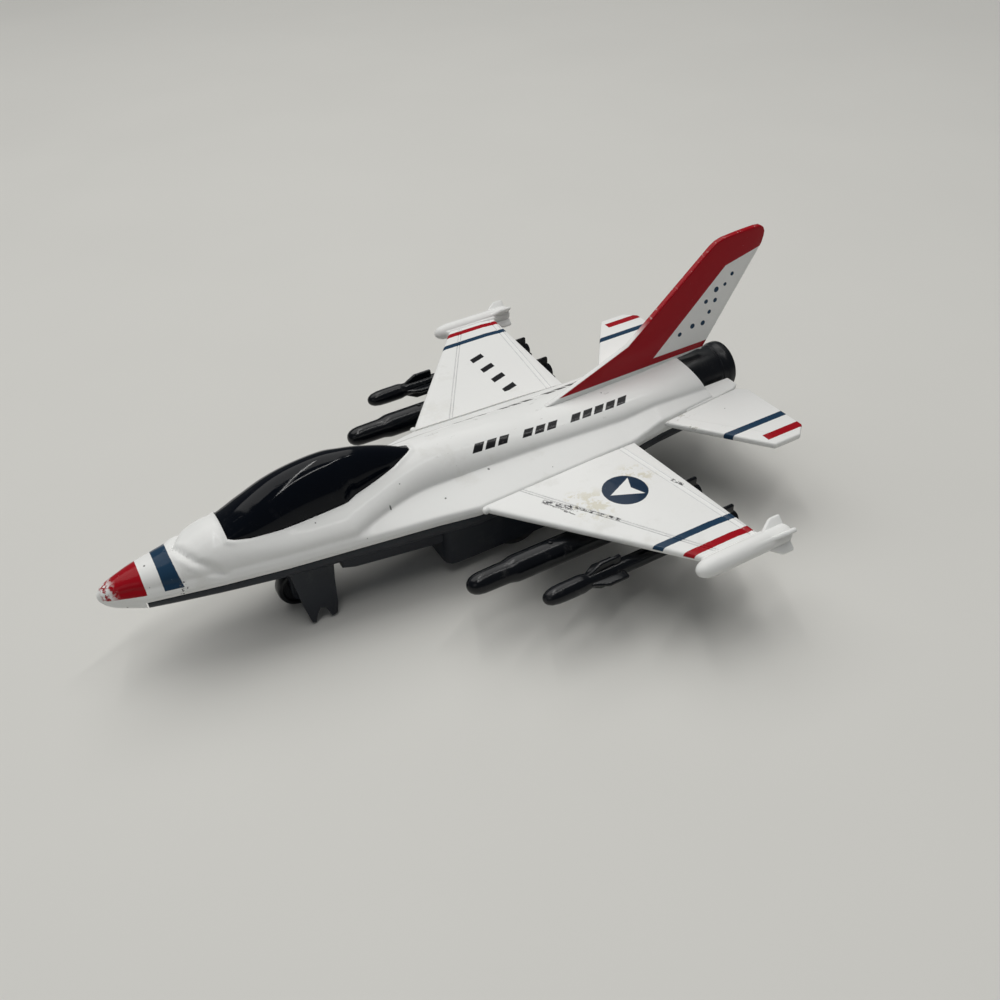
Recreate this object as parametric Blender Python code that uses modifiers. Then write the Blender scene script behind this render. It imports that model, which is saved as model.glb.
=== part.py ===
"""Pull-back toy jet fighter: cast body, wings and fin, plastic chassis, canopy, stores and clockwork motor.

The nose points along +X, the left wing along +Y and +Z is up. The origin lies on the ground, under the
middle of the overall length. A station is a distance in millimetres behind the nose tip, and a height w
is measured in millimetres from the wing plane.
"""
import math

import bmesh
import bpy
from mathutils import Matrix, Vector

MM = 0.001
GAP = 0.3

# Driving dimensions, in millimetres
BODY_LENGTH = 153.5
WING_HEIGHT = 21.3
WALL = 1.4
SEAM = -1.5
TIP_Y = 60.5
BELLY_FULLNESS = 0.72
CHASSIS_STEP = 0.4
EDGE_TURN = 0.822

WING_STATION = 0.534
WING_ROOT_CHORD = 43.2
WING_SWEEP = 0.77
WING_REAR_SWEEP = 0.06
WING_THICKNESS = 1.8
TIP_RADIUS = 2.2
TIP_LENGTH = 24.5
TIP_FIN_REACH = 1.9
WING_TAB_LENGTH = 22.0
WING_TAB_DEPTH = 7.0

TAIL_STATION = 0.881
TAIL_HEIGHT = 1.1
TAIL_THICKNESS = 1.6
TAIL_TIP_Y = 36.8
TAIL_ROOT_CHORD = 24.3
TAIL_TIP_CHORD = 11.0
TAIL_SWEEP = 0.72
SHELF_TAPER = 5.5

FIN_STATION = 0.713
FIN_THICKNESS = 1.6
FIN_HEIGHT = 38.4
FIN_OVERHANG = 65.0
FIN_ROOT_CHORD = 47.6
FIN_TAB_LENGTH = 7.5

CANOPY_START = 0.184
CANOPY_LENGTH = 44.8
CANOPY_FLOOR = 5.0
CANOPY_WALL = 1.3
CANOPY_PEG_RADIUS = 0.9

NOZZLE_RADIUS = 6.3
NOZZLE_RING_RADIUS = 6.6
NOZZLE_BORE_RADIUS = 5.2
NOZZLE_LENGTH = 21.7
NOZZLE_START = 0.932
NOZZLE_AXIS = 1.0

NOSE_WHEEL_STATION = 0.268
NOSE_WHEEL_RADIUS = 5.0
NOSE_WHEEL_WIDTH = 3.6
NOSE_AXLE_RADIUS = 0.8
FORK_THICKNESS = 1.2
DOOR_Y = 9.55
DOOR_THICKNESS = 0.8

REAR_AXLE_STATION = 0.619
REAR_WHEEL_RADIUS = 7.0
REAR_AXLE_RADIUS = 1.0
TYRE_WIDTH = 3.2
TYRE_THICKNESS = 1.7
WHEEL_Y = 9.2

BAY_HALF_WIDTH = 13.0
BAY_WALL = 1.2
BAY_FRONT = 20.7
BAY_REAR = 11.0
BAY_BOTTOM = -17.3

GEAR_MODULE = 0.6
PINION_TEETH = 10
WHEEL_TEETH = 18
TOOTH_PLAY = 0.12
GEAR_THICKNESS = 1.8
SHAFT_RADIUS = 0.8
IDLER_ANGLE = 139.0
ARBOR_ANGLE = 128.0
CASE_HALF_WIDTH = 5.7
CASE_WALL = 1.0
SPRING_TURNS = 4
SPRING_PITCH = 0.85
SPRING_STRIP = 0.35
SPRING_WIDTH = 2.0

STORE_STEPS = 16
INNER_STORE_Y = 33.3
INNER_STORE_STATION = 0.453
OUTER_STORE_Y = 46.0
OUTER_STORE_STATION = 0.527
PYLON_THICKNESS = 1.5
STORE_FIN_THICKNESS = 1.0

SCREW_HEAD_RADIUS = 2.1
SCREW_RADIUS = 1.0
SCREW_SEAT_DEPTH = 2.2
BOSS_RADIUS = 2.7
FRONT_SCREW_STATION = 0.195
REAR_SCREW_STATION = 0.837

OVERALL_LENGTH = FIN_STATION * BODY_LENGTH + FIN_OVERHANG
NOSE_X = OVERALL_LENGTH / 2


def sta(fraction):
    """Station of a point given as a fraction of the body's length."""
    return fraction * BODY_LENGTH


def place(station, y, w):
    """World position of a point given by its station, its side distance and its height."""
    return Vector(((NOSE_X - station) * MM, y * MM, (WING_HEIGHT + w) * MM))


def linear(keys):
    """Function of the station through (fraction, value) keys, straight between them."""
    def value(station):
        fraction = station / BODY_LENGTH
        if fraction <= keys[0][0]:
            return keys[0][1]
        for (f0, v0), (f1, v1) in zip(keys, keys[1:]):
            if fraction <= f1:
                return v0 + (v1 - v0) * (fraction - f0) / (f1 - f0)
        return keys[-1][1]
    return value


def smooth(keys):
    """Function of the station through (fraction, value) keys, rounded between them."""
    slopes = []
    for i in range(len(keys)):
        f0, v0 = keys[max(i - 1, 0)]
        f1, v1 = keys[min(i + 1, len(keys) - 1)]
        slopes.append((v1 - v0) / (f1 - f0))

    def value(station):
        fraction = min(max(station / BODY_LENGTH, keys[0][0]), keys[-1][0])
        for i, ((f0, v0), (f1, v1)) in enumerate(zip(keys, keys[1:])):
            if fraction <= f1:
                break
        span = f1 - f0
        t = (fraction - f0) / span
        hermite = (2 * t**3 - 3 * t**2 + 1, (t**3 - 2 * t**2 + t) * span,
                   3 * t**2 - 2 * t**3, (t**3 - t**2) * span)
        return sum(h * v for h, v in zip(hermite, (v0, slopes[i], v1, slopes[i + 1])))
    return value


# Lines of the body: half width at the lower edge, height of the spine, belly, seam and side crease
edge_width = linear(((0.003, 1.3), (0.01, 2.1), (0.02, 2.9), (0.04, 4.1), (0.057, 5.2), (0.156, 8.7),
                     (0.248, 11.4), (0.355, 13.8), (0.469, 16.4), (0.53, 18.2), (EDGE_TURN, 16.2),
                     (0.877, 14.7), (1.0, 12.8)))
spine = smooth(((0.003, 1.9), (0.01, 2.6), (0.02, 3.3), (0.046, 4.5), (0.084, 5.5), (0.122, 6.6),
                (0.164, 8.5), (0.19, 8.4), (0.235, 7.7), (0.29, 7.3), (0.358, 7.7), (0.404, 8.4),
                (0.443, 9.3), (0.476, 9.9), (0.515, 10.0), (0.6, 9.1), (0.713, 7.8), (0.87, 8.0),
                (1.0, 8.8)))
belly = smooth(((0.003, -0.9), (0.01, -1.8), (0.02, -2.8), (0.057, -4.4), (0.156, -5.7), (0.25, -6.6),
                (0.33, -7.2), (0.48, -8.0), (0.72, -8.0), (0.88, -7.8), (1.0, -7.6)))
seam = linear(((0.0, 0.3), (0.0565, SEAM)))
lip_height = linear(((0.82, 2.4), (0.88, 3.8)))
side_crease = smooth(((0.28, 17.0), (0.355, 12.6), (0.41, 10.0), (0.463, 8.5), (0.535, 8.4), (0.66, 9.0),
                      (0.76, 9.6), (0.87, 10.2), (1.0, 10.4)))

collections = {}


def clear_scene():
    for obj in list(bpy.data.objects):
        bpy.data.objects.remove(obj, do_unlink=True)
    for name in ("toy_airplane", "cutters"):
        collections[name] = bpy.data.collections.new(name)
        bpy.context.scene.collection.children.link(collections[name])


def material(name, colour, roughness, metallic=0.0):
    made = bpy.data.materials.new(name)
    made.use_nodes = True
    shader = made.node_tree.nodes["Principled BSDF"]
    shader.inputs["Base Color"].default_value = (*colour, 1.0)
    shader.inputs["Roughness"].default_value = roughness
    shader.inputs["Metallic"].default_value = metallic
    return made


def make_object(name, mesh, location=Vector(), rotation=(0.0, 0.0, 0.0)):
    obj = bpy.data.objects.new(name, mesh)
    obj.location = location
    obj.rotation_euler = rotation
    collections["cutters"].objects.link(obj)
    obj.hide_render = True
    obj.display_type = "WIRE"
    return obj


def finish(obj, surface):
    """Move a finished piece from the cutters to the toy and give it its material."""
    collections["cutters"].objects.unlink(obj)
    collections["toy_airplane"].objects.link(obj)
    obj.hide_render = False
    obj.display_type = "TEXTURED"
    obj.data.materials.append(surface)
    obj.data.shade_smooth()
    obj.data.set_sharp_from_angle(angle=math.radians(35))
    return obj


def combine(obj, other, operation):
    step = obj.modifiers.new(other.name, "BOOLEAN")
    step.operation = operation
    step.object = other
    step.solver = "EXACT"


def cut(obj, *others):
    for other in others:
        combine(obj, other, "DIFFERENCE")


def join(obj, *others):
    for other in others:
        combine(obj, other, "UNION")


def box(name, stations, ys, ws):
    """Box between two stations, two side distances and two heights."""
    low, high = place(stations[1], ys[0], ws[0]), place(stations[0], ys[1], ws[1])
    bm = bmesh.new()
    bmesh.ops.create_cube(bm, size=1.0)
    bmesh.ops.transform(bm, matrix=Matrix.Diagonal((*(high - low), 1.0)), verts=bm.verts)
    mesh = bpy.data.meshes.new(name)
    bm.to_mesh(mesh)
    bm.free()
    return make_object(name, mesh, (low + high) / 2)


def cylinder(name, centre, radius, length, axis, steps=20):
    """Cylinder about its centre along the axis X, Y or Z."""
    bm = bmesh.new()
    bmesh.ops.create_cone(bm, cap_ends=True, segments=steps, radius1=radius * MM, radius2=radius * MM,
                          depth=length * MM)
    mesh = bpy.data.meshes.new(name)
    bm.to_mesh(mesh)
    bm.free()
    turn = {"X": (0.0, math.pi / 2, 0.0), "Y": (math.pi / 2, 0.0, 0.0), "Z": (0.0, 0.0, 0.0)}[axis]
    return make_object(name, mesh, centre, turn)


def turned(name, origin, profile, axis, steps=24):
    """Solid of revolution from (radius, distance along the axis) pairs, highest distance first."""
    mesh = bpy.data.meshes.new(name)
    points = [(r * MM, 0.0, d * MM) for r, d in profile]
    mesh.from_pydata(points, [(i, i + 1) for i in range(len(points) - 1)], [])
    turn = {"X": (0.0, math.pi / 2, 0.0), "Y": (-math.pi / 2, 0.0, 0.0), "Z": (0.0, 0.0, 0.0)}[axis]
    obj = make_object(name, mesh, origin, turn)
    screw = obj.modifiers.new("turn", "SCREW")
    screw.steps = screw.render_steps = steps
    screw.use_merge_vertices = True
    screw.merge_threshold = 0.00001
    return obj


def ring_profile(inner, outer, half_width, chamfer=0.0):
    """Closed profile of a ring with chamfered outer corners, run down its outer side first."""
    return ((inner, half_width), (outer - chamfer, half_width), (outer, half_width - chamfer),
            (outer, chamfer - half_width), (outer - chamfer, -half_width), (inner, -half_width),
            (inner, half_width))


def plate(name, origin, outlines, thickness, upright=False, rounding=0.0):
    """Flat piece from outlines about its origin, lying level or standing along the centre line."""
    curve = bpy.data.curves.new(name, "CURVE")
    curve.dimensions = "2D"
    curve.fill_mode = "BOTH"
    curve.extrude = (thickness / 2 - rounding) * MM
    curve.bevel_depth = rounding * MM
    curve.bevel_resolution = 0
    curve.offset = -rounding * MM
    for outline in outlines:
        spline = curve.splines.new("POLY")
        spline.points.add(len(outline) - 1)
        for point, (x, y) in zip(spline.points, outline):
            point.co = (x * MM, y * MM, 0.0, 1.0)
        spline.use_cyclic_u = True
    flat = bpy.data.objects.new(name, curve)
    bpy.context.scene.collection.objects.link(flat)
    graph = bpy.context.evaluated_depsgraph_get()
    mesh = bpy.data.meshes.new_from_object(flat.evaluated_get(graph))
    bpy.data.objects.remove(flat, do_unlink=True)
    bpy.data.curves.remove(curve)
    bm = bmesh.new()
    bm.from_mesh(mesh)
    bmesh.ops.remove_doubles(bm, verts=bm.verts, dist=0.00001)
    bmesh.ops.recalc_face_normals(bm, faces=bm.faces)
    bm.to_mesh(mesh)
    bm.free()
    mesh.materials.clear()
    return make_object(name, mesh, origin, (math.pi / 2 if upright else 0.0, 0.0, 0.0))


def circle_points(radius, steps=20, x=0.0, y=0.0):
    angles = [2 * math.pi * i / steps for i in range(steps)]
    return [(x + radius * math.cos(a), y + radius * math.sin(a)) for a in angles]


def loft(name, rings, tip=None):
    """Closed skin through rings of equal point counts, with flat ends or a pointed front."""
    bm = bmesh.new()
    rows = [[bm.verts.new(point) for point in ring] for ring in rings]
    count = len(rows[0])
    for front, rear in zip(rows, rows[1:]):
        for i in range(count):
            j = (i + 1) % count
            bm.faces.new((front[i], front[j], rear[j], rear[i]))
    if tip is None:
        bm.faces.new(rows[0])
    else:
        point = bm.verts.new(tip)
        for i in range(count):
            bm.faces.new((rows[0][(i + 1) % count], rows[0][i], point))
    bm.faces.new(list(reversed(rows[-1])))
    bmesh.ops.recalc_face_normals(bm, faces=bm.faces)
    mesh = bpy.data.meshes.new(name)
    bm.to_mesh(mesh)
    bm.free()
    return make_object(name, mesh)


def ring(station, half, rake=0.0):
    """Full ring from the port half of a section, listed from the bottom centre to the top centre."""
    loop = list(half) + [(-y, w) for y, w in reversed(half[1:-1])]
    return [place(station - rake * (w - SEAM), y, w) for y, w in loop]


def arc(start, end, steps, power=1.0):
    """Quarter of an ellipse from a point at the side to a point on the centre line."""
    points = []
    for i in range(1, steps + 1):
        angle = math.pi / 2 * i / steps
        y = end[0] + (start[0] - end[0]) * math.cos(angle) ** power
        points.append((y, start[1] + (end[1] - start[1]) * math.sin(angle) ** power))
    points[-1] = end
    return points


def upper_half(station):
    """Upper section of the body, from the seam past the lip and the side crease to the spine."""
    low, top, edge = seam(station), spine(station), edge_width(station)
    size = min(1.0, (top - low) / 6.0)
    lip = low + lip_height(station) * size
    crease = min(edge - 0.9 * size, side_crease(station))
    rise = min(1.0, (edge - crease) / 8.0)
    shoulder = (crease, min(lip + 0.6 * size + 2.1 * rise, lip + 0.45 * (top - lip)))
    points = [(edge - 0.3 * size, low), (edge, low + 1.1 * size), (edge - 0.4 * size, lip), shoulder]
    return points + arc(shoulder, (0.0, top), 6)


def lower_half(station, half_width, top, bottom):
    """Lower section from the bottom centre out to the seam."""
    return list(reversed(arc((half_width, top), (0.0, bottom), 5, BELLY_FULLNESS)))


def body_stations(first, last, pitch=5.0):
    """Evenly spaced stations with the corners of the body's plan outline added."""
    count = max(2, round((last - first) / pitch))
    stations = [first + (last - first) * i / count for i in range(count + 1)]
    corners = [sta(f) for f in (0.53, 0.822, 0.877) if first + 1 < sta(f) < last - 1]
    return sorted([s for s in stations if all(abs(s - c) > 1.5 for c in corners)] + corners)


def body_skin():
    """Outer skin: a full nose cone in front of the chassis, then the upper half alone."""
    cone_end = sta(0.056)
    rings = []
    for station in [sta(f) for f in (0.003, 0.01, 0.02, 0.036, 0.048)] + [cone_end]:
        upper = upper_half(station)
        rings.append(ring(station, lower_half(station, upper[0][0], upper[0][1], belly(station)) + upper))
    rake_start = sta(0.92)
    for station in [cone_end + 0.02] + body_stations(cone_end + 4, BODY_LENGTH):
        upper = upper_half(station)
        rake = 0.45 * max(0.0, (station - rake_start) / (BODY_LENGTH - rake_start))
        rings.append(ring(station, lower_half(station, upper[0][0], SEAM, SEAM) + upper, rake))
    return loft("fuselage_shell", rings, tip=place(0.0, 0.0, 0.5))


def canopy_span():
    start = sta(CANOPY_START)
    return start, start + CANOPY_LENGTH


def canopy_half_width(t):
    return canopy_line(t, ((0, 5.2), (0.01, 5.5), (0.1, 6.4), (0.24, 7.0), (0.59, 7.0), (0.65, 5.8),
                           (0.76, 4.7), (0.88, 3.5), (0.97, 1.8), (1, 0.9)))


def canopy_top(t):
    return canopy_line(t, ((0, 8.6), (0.12, 11.5), (0.26, 14.2), (0.39, 15.6), (0.55, 16.1),
                           (0.67, 15.4), (0.76, 14.4), (0.88, 12.5), (1, 10.0)))


def canopy_spring(t):
    """Height at which the canopy's upright side turns into its dome."""
    return canopy_line(t, ((0, 6.7), (0.15, 6.1), (0.6, 6.4), (0.75, 7.8), (1, 9.0)))


def canopy_line(t, keys):
    for (t0, v0), (t1, v1) in zip(keys, keys[1:]):
        if t <= t1:
            return v0 + (v1 - v0) * (t - t0) / (t1 - t0)
    return keys[-1][1]


def canopy_rings(ts, inset, floor):
    start, _ = canopy_span()
    rings = []
    for t in ts:
        width = canopy_half_width(t) - inset
        spring = canopy_spring(t)
        side = [(0.0, floor), (width, floor), (width, spring)]
        dome = arc((width, spring), (0.0, canopy_top(t) - inset), 6)
        rings.append(ring(start + t * CANOPY_LENGTH, side + dome))
    return rings


def peg_stations():
    start, _ = canopy_span()
    return [start + 0.085 * CANOPY_LENGTH, start + 0.915 * CANOPY_LENGTH]


def make_canopy(surface):
    """Dark canopy, hollow from below, with two pegs that are staked under the cockpit floor."""
    canopy = loft("canopy", canopy_rings([i / 20 for i in range(21)], 0.0, CANOPY_FLOOR))
    cut(canopy, loft("canopy_hollow", canopy_rings([0.15 + 0.065 * i for i in range(11)], CANOPY_WALL,
                                                   CANOPY_FLOOR - 1)))
    for number, station in enumerate(peg_stations()):
        origin = place(station, 0, CANOPY_FLOOR - 0.9)
        join(canopy, cylinder(f"canopy_peg_{number}", origin, CANOPY_PEG_RADIUS, 4.2, "Z", 12))
    return finish(canopy, surface)


def canopy_seat():
    """Pocket in the body that takes the canopy with a gap all round."""
    start, end = canopy_span()
    floor = CANOPY_FLOOR - GAP
    rings = []
    for i in range(21):
        width = canopy_half_width(i / 20) + GAP
        rings.append((start + i / 20 * CANOPY_LENGTH, width))
    rings = [(start - GAP, rings[0][1])] + rings + [(end + GAP, rings[-1][1])]
    top = canopy_top(0.55) + 5
    return loft("canopy_seat", [ring(s, [(0.0, floor), (w, floor), (w, top), (0.0, top)]) for s, w in rings])


def shell_hollow():
    """Inside of the cast body, lower under the cockpit floor."""
    start, end = canopy_span()
    floor = CANOPY_FLOOR - GAP - WALL
    first, last = sta(0.085), sta(NOZZLE_START) - 2.0
    rings = []
    for station in body_stations(first, last, 7.0) + [start - 2, start - 1.9, end + 1.9, end + 2]:
        upper = upper_half(station)
        width = upper[3][0] - WALL
        top = upper[-1][1] - WALL
        if start - 1.95 < station < end + 1.95:
            top = min(top, floor)
        side = min(upper[3][1] - WALL, top - 1.5)
        half = [(0.0, SEAM - 2), (width, SEAM - 2), (width, side)] + arc((width, side), (0.0, top), 5)
        rings.append((station, ring(station, half)))
    return loft("shell_hollow", [points for _, points in sorted(rings, key=lambda pair: pair[0])])


def nozzle_bore(name, length):
    centre = place(sta(NOZZLE_START) - 0.5 + length / 2, 0, NOZZLE_AXIS)
    return cylinder(name, centre, NOZZLE_RADIUS + GAP, length, "X", 32)


def shelf_side(station):
    """Side distance of the shelf's edge, which tapers in behind the body."""
    taper = min(1.0, max(0.0, (station - BODY_LENGTH) / SHELF_TAPER))
    return edge_width(BODY_LENGTH) - 0.7 * taper


def shelf_points(side):
    """Outline of the flat shelf beside the nozzle, about station 0."""
    clear = NOZZLE_RING_RADIUS + 2 * GAP
    line = [(sta(0.93), 8.8), (sta(0.93), edge_width(sta(0.93)) - 0.1),
            (BODY_LENGTH, edge_width(BODY_LENGTH)),
            (BODY_LENGTH + SHELF_TAPER, shelf_side(BODY_LENGTH + SHELF_TAPER)),
            (BODY_LENGTH + 7.7, 10.8), (BODY_LENGTH + 7.7, clear), (BODY_LENGTH - 1, clear)]
    return [(-s, side * y) for s, y in line]


def wing_root(station):
    """Side distance of the wing's root line, a gap outside the body."""
    return edge_width(station) + GAP


def wing_front(y):
    """Station of the wing's leading edge."""
    return sta(WING_STATION) + WING_SWEEP * (y - wing_root(sta(WING_STATION)))


def wing_rear(y):
    return sta(WING_STATION) + WING_ROOT_CHORD + WING_REAR_SWEEP * (y - wing_root(sta(WING_STATION)))


def wing_tab(side, clearance):
    """Root tab of a wing, or with a clearance its groove in the body, open towards the chassis."""
    middle = sta(WING_STATION) + WING_ROOT_CHORD / 2
    root = wing_root(middle)
    stations = (middle - WING_TAB_LENGTH / 2 - clearance, middle + WING_TAB_LENGTH / 2 + clearance)
    inner = root - WING_TAB_DEPTH - clearance
    outer = root + (3.0 if clearance else 2.0)
    ys = (inner, outer) if side > 0 else (-outer, -inner)
    bottom = SEAM - 1 if clearance else -WING_THICKNESS / 2 + 0.1
    return box("wing_tab", stations, ys, (bottom, 0.5 + clearance))


def tail_front(y):
    return sta(TAIL_STATION) + TAIL_SWEEP * (y - edge_width(sta(TAIL_STATION)))


def tail_tab(side, clearance):
    """Root tab of a tailplane, or with a clearance its groove in the body."""
    stations = (sta(TAIL_STATION) + 4 - clearance, sta(TAIL_STATION) + 13 + clearance)
    inner = edge_width(stations[1]) - 3.6 - clearance
    outer = edge_width(stations[0]) + (2.0 if clearance else 1.5)
    ys = (inner, outer) if side > 0 else (-outer, -inner)
    half = TAIL_THICKNESS / 2 - 0.2
    bottom = SEAM - 1 if clearance else TAIL_HEIGHT - half
    return box("tail_tab", stations, ys, (bottom, TAIL_HEIGHT + half - 0.3 + clearance))


def fin_tabs(clearance):
    """Two tabs under the fin, or with a clearance their slots in the body's roof."""
    tabs = []
    for number, fraction in enumerate((0.74, 0.865)):
        stations = (sta(fraction) - clearance, sta(fraction) + FIN_TAB_LENGTH + clearance)
        half = FIN_THICKNESS / 2 - 0.1 + clearance
        bottom = spine(sta(fraction)) - 2.6 - 2 * clearance
        tabs.append(box(f"fin_tab_{number}", stations, (-half, half), (bottom, spine(sta(fraction)) + 1.2)))
    return tabs


def make_shell(surface):
    """Cast body: hollow and open below, with seats for everything that is fixed to it."""
    shell = body_skin()
    cut(shell, shell_hollow())
    for number, fraction in enumerate((FRONT_SCREW_STATION, REAR_SCREW_STATION)):
        station = sta(fraction)
        top = CANOPY_FLOOR - 1.0 if number == 0 else spine(station) - 0.6
        centre = place(station, 0, (SEAM + top) / 2)
        join(shell, cylinder(f"boss_{number}", centre, BOSS_RADIUS, top - SEAM, "Z"))
        origin = place(station, 0, SEAM + 1.2)
        cut(shell, cylinder(f"pilot_{number}", origin, SCREW_RADIUS + GAP, 6.2, "Z", 16))
    for side in (1, -1):
        origin = place(0, 0, TAIL_HEIGHT)
        join(shell, plate(f"shelf_{side}", origin, [shelf_points(side)], TAIL_THICKNESS))
    cut(shell, canopy_seat(), nozzle_bore("shell_bore", 30.0))
    for number, station in enumerate(peg_stations()):
        origin = place(station, 0, 3.5)
        cut(shell, cylinder(f"peg_hole_{number}", origin, CANOPY_PEG_RADIUS + GAP, 5.0, "Z", 12))
    for side in (1, -1):
        cut(shell, wing_tab(side, GAP), tail_tab(side, GAP))
    cut(shell, *fin_tabs(GAP))
    return finish(shell, surface)


def wing_profile():
    """Chord fractions and half heights of the wing, with a point where the body's edge turns beside it."""
    full, thin, taper = 0.5, 0.24, 0.7
    profile = [(0.0, 0.0), (0.012, 0.36), (0.05, full), (taper, full), (1.0, thin)]
    turn = (sta(EDGE_TURN) - sta(WING_STATION)) / WING_ROOT_CHORD
    if taper < turn < 1.0:
        profile.insert(4, (turn, full + (thin - full) * (turn - taper) / (1.0 - taper)))
    return profile


def wing_ring(share, side):
    """Section of the wing between its root line and its tip, rounded in front and thin behind."""
    profile = wing_profile()
    loop = profile + [(c, -h) for c, h in reversed(profile[1:])]
    points = []
    for chord, height in loop:
        root_front = sta(WING_STATION)
        root_station = root_front + chord * WING_ROOT_CHORD
        root_y = wing_root(root_station)
        front, rear = wing_front(TIP_Y), wing_rear(TIP_Y)
        tip_station = front + chord * (rear - front)
        station = root_station + share * (tip_station - root_station)
        y = root_y + share * (TIP_Y - root_y)
        points.append(place(station, side * y, height * WING_THICKNESS))
    return points


def tip_store(name, side):
    """Slim missile on the wing tip with four fins at its tail."""
    rear = wing_rear(TIP_Y) + 6.0
    r = TIP_RADIUS
    front = TIP_LENGTH
    profile = ((0.0, front), (0.45 * r, front - 0.4), (0.8 * r, front - 1.5), (r, front - 3.4),
               (r, 1.0), (0.7 * r, 0.0), (0.0, 0.0))
    body = turned(name, place(rear, side * TIP_Y, 0), profile, "X", 16)
    reach = TIP_FIN_REACH * r
    half = [(7.6, 0.5 * r), (3.2, reach), (0.6, reach)]
    fin = [(x, -h) for x, h in reversed(half)] + half
    for number, angle in enumerate((45, -45)):
        blade = plate(f"{name}_fin_{number}", place(rear, side * TIP_Y, 0), [fin], STORE_FIN_THICKNESS)
        blade.rotation_euler = (math.radians(angle), 0.0, 0.0)
        join(body, blade)
    return body


def store_seats(y):
    """Stations of the two peg holes for a store under the wing at this side distance."""
    middle = (wing_front(y) + wing_rear(y)) / 2
    return middle - 4.0, middle + 4.0


def make_wing(side, surface):
    name = "left_wing" if side > 0 else "right_wing"
    wing = loft(name, [wing_ring(share, side) for share in (0.0, 1.0)])
    join(wing, wing_tab(side, 0.0), tip_store(f"{name}_tip", side))
    for y in (INNER_STORE_Y, OUTER_STORE_Y):
        for number, station in enumerate(store_seats(y)):
            hole = place(station, side * y, -WING_THICKNESS / 2 + 0.1)
            cut(wing, cylinder(f"{name}_seat_{y:.0f}_{number}", hole, 0.8 + GAP, 2.0, "Z", 12))
    return finish(wing, surface)


def make_tailplane(side, surface):
    name = "left_tailplane" if side > 0 else "right_tailplane"
    front = sta(TAIL_STATION)
    rear = front + TAIL_ROOT_CHORD
    tip_front = tail_front(TAIL_TIP_Y)
    root_rear_y = shelf_side(rear) + GAP
    line = [(front, edge_width(front) + GAP), (tip_front, TAIL_TIP_Y),
            (tip_front + 0.7 * TAIL_TIP_CHORD, TAIL_TIP_Y), (tip_front + TAIL_TIP_CHORD, TAIL_TIP_Y - 3.0),
            (rear + 2.4, root_rear_y + 2.1), (rear, root_rear_y),
            (BODY_LENGTH, edge_width(BODY_LENGTH) + GAP)]
    outline = [(-s, side * y) for s, y in line]
    tail = plate(name, place(0, 0, TAIL_HEIGHT), [outline], TAIL_THICKNESS, rounding=0.25)
    join(tail, tail_tab(side, 0.0))
    return finish(tail, surface)


def make_fin(surface):
    """Tail fin with a swept front, a squared top and two root tabs."""
    root = sta(FIN_STATION)
    rear = root + FIN_ROOT_CHORD
    base = [(station, spine(station) + GAP) for station in (root, root + 0.35 * FIN_ROOT_CHORD,
                                                            root + 0.7 * FIN_ROOT_CHORD, rear)]
    sweep = [(FIN_OVERHANG - 0.4, FIN_HEIGHT - 5.0), (FIN_OVERHANG, FIN_HEIGHT - 1.9),
             (FIN_OVERHANG - 3.3, FIN_HEIGHT), (FIN_OVERHANG - 13.2, FIN_HEIGHT - 0.6),
             (FIN_OVERHANG - 16.0, FIN_HEIGHT - 1.5), (24.3, 16.8), (5.0, spine(root) + 1.6)]
    outline = base + [(root + offset, w) for offset, w in sweep]
    fin = plate("tail_fin", place(0, 0, 0), [[(-s, w) for s, w in outline]], FIN_THICKNESS, True, 0.25)
    join(fin, *fin_tabs(0.0))
    return finish(fin, surface)


def make_nozzle(surface):
    """Exhaust pipe with a thicker end ring and a closed turbine face inside."""
    length, bore = NOZZLE_LENGTH, NOZZLE_BORE_RADIUS
    profile = ((0.0, length), (NOZZLE_RADIUS - 0.4, length), (NOZZLE_RADIUS, length - 0.4),
               (NOZZLE_RADIUS, 2.4), (NOZZLE_RING_RADIUS, 2.0), (NOZZLE_RING_RADIUS, 0.0), (bore + 0.5, 0.0), (bore, 0.6),
               (bore, length - 5.0), (1.5, length - 5.0), (0.0, length - 8.0))
    rear = place(sta(NOZZLE_START) + length, 0, NOZZLE_AXIS)
    return finish(turned("exhaust_nozzle", rear, profile, "X", 32), surface)


def bay_stations():
    axle = sta(REAR_AXLE_STATION)
    return axle - BAY_FRONT, axle + BAY_REAR


def rounded_outline(stations, half_width, radius, steps=3):
    """Rectangle across the centre line with round corners, about station 0."""
    points = []
    corners = ((stations[0], 1, 0), (stations[1], 1, 90), (stations[1], -1, 180), (stations[0], -1, 270))
    for station, side, start in corners:
        inward = -radius if station == stations[0] else radius
        x = inward - station
        y = side * (half_width - radius)
        for i in range(steps + 1):
            angle = math.radians(start + 90 * i / steps)
            points.append((x + radius * math.cos(angle), y + radius * math.sin(angle)))
    return points


def trunk(name, shrink, stations):
    """Air-intake trunk under the body, or with a shrink its inside."""
    width = linear(((0.32, 10.6), (0.345, 10.9), (0.47, 11.2), (0.69, 11.2), (0.82, 9.5)))
    bottom = linear(((0.32, -8.2), (0.345, -9.4), (0.47, -11.9), (0.69, -12.2), (0.82, -7.0)))
    rings = []
    for station in stations:
        w, b = width(station) - shrink, bottom(station) + shrink
        top = SEAM - 0.8 if shrink == 0 else SEAM + 1
        rings.append(ring(station, [(0.0, b), (w - 1.2, b), (w, b + 1.2), (w, top), (0.0, top)]))
    return loft(name, rings)


def belly_rings(stations, inset):
    """Sections of the chassis pan, or with an inset of its inside."""
    rings = []
    for station in stations:
        width = edge_width(station) - CHASSIS_STEP - inset
        top = SEAM - GAP
        bottom = belly(station) + inset * 0.9
        lower = lower_half(station, width, top, bottom)
        lid = top if inset == 0 else top + 2
        wall = [(width, top), (width, lid)] if inset else [(width, top)]
        rings.append(ring(station, lower + wall + [(0.0, lid)]))
    return rings


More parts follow.
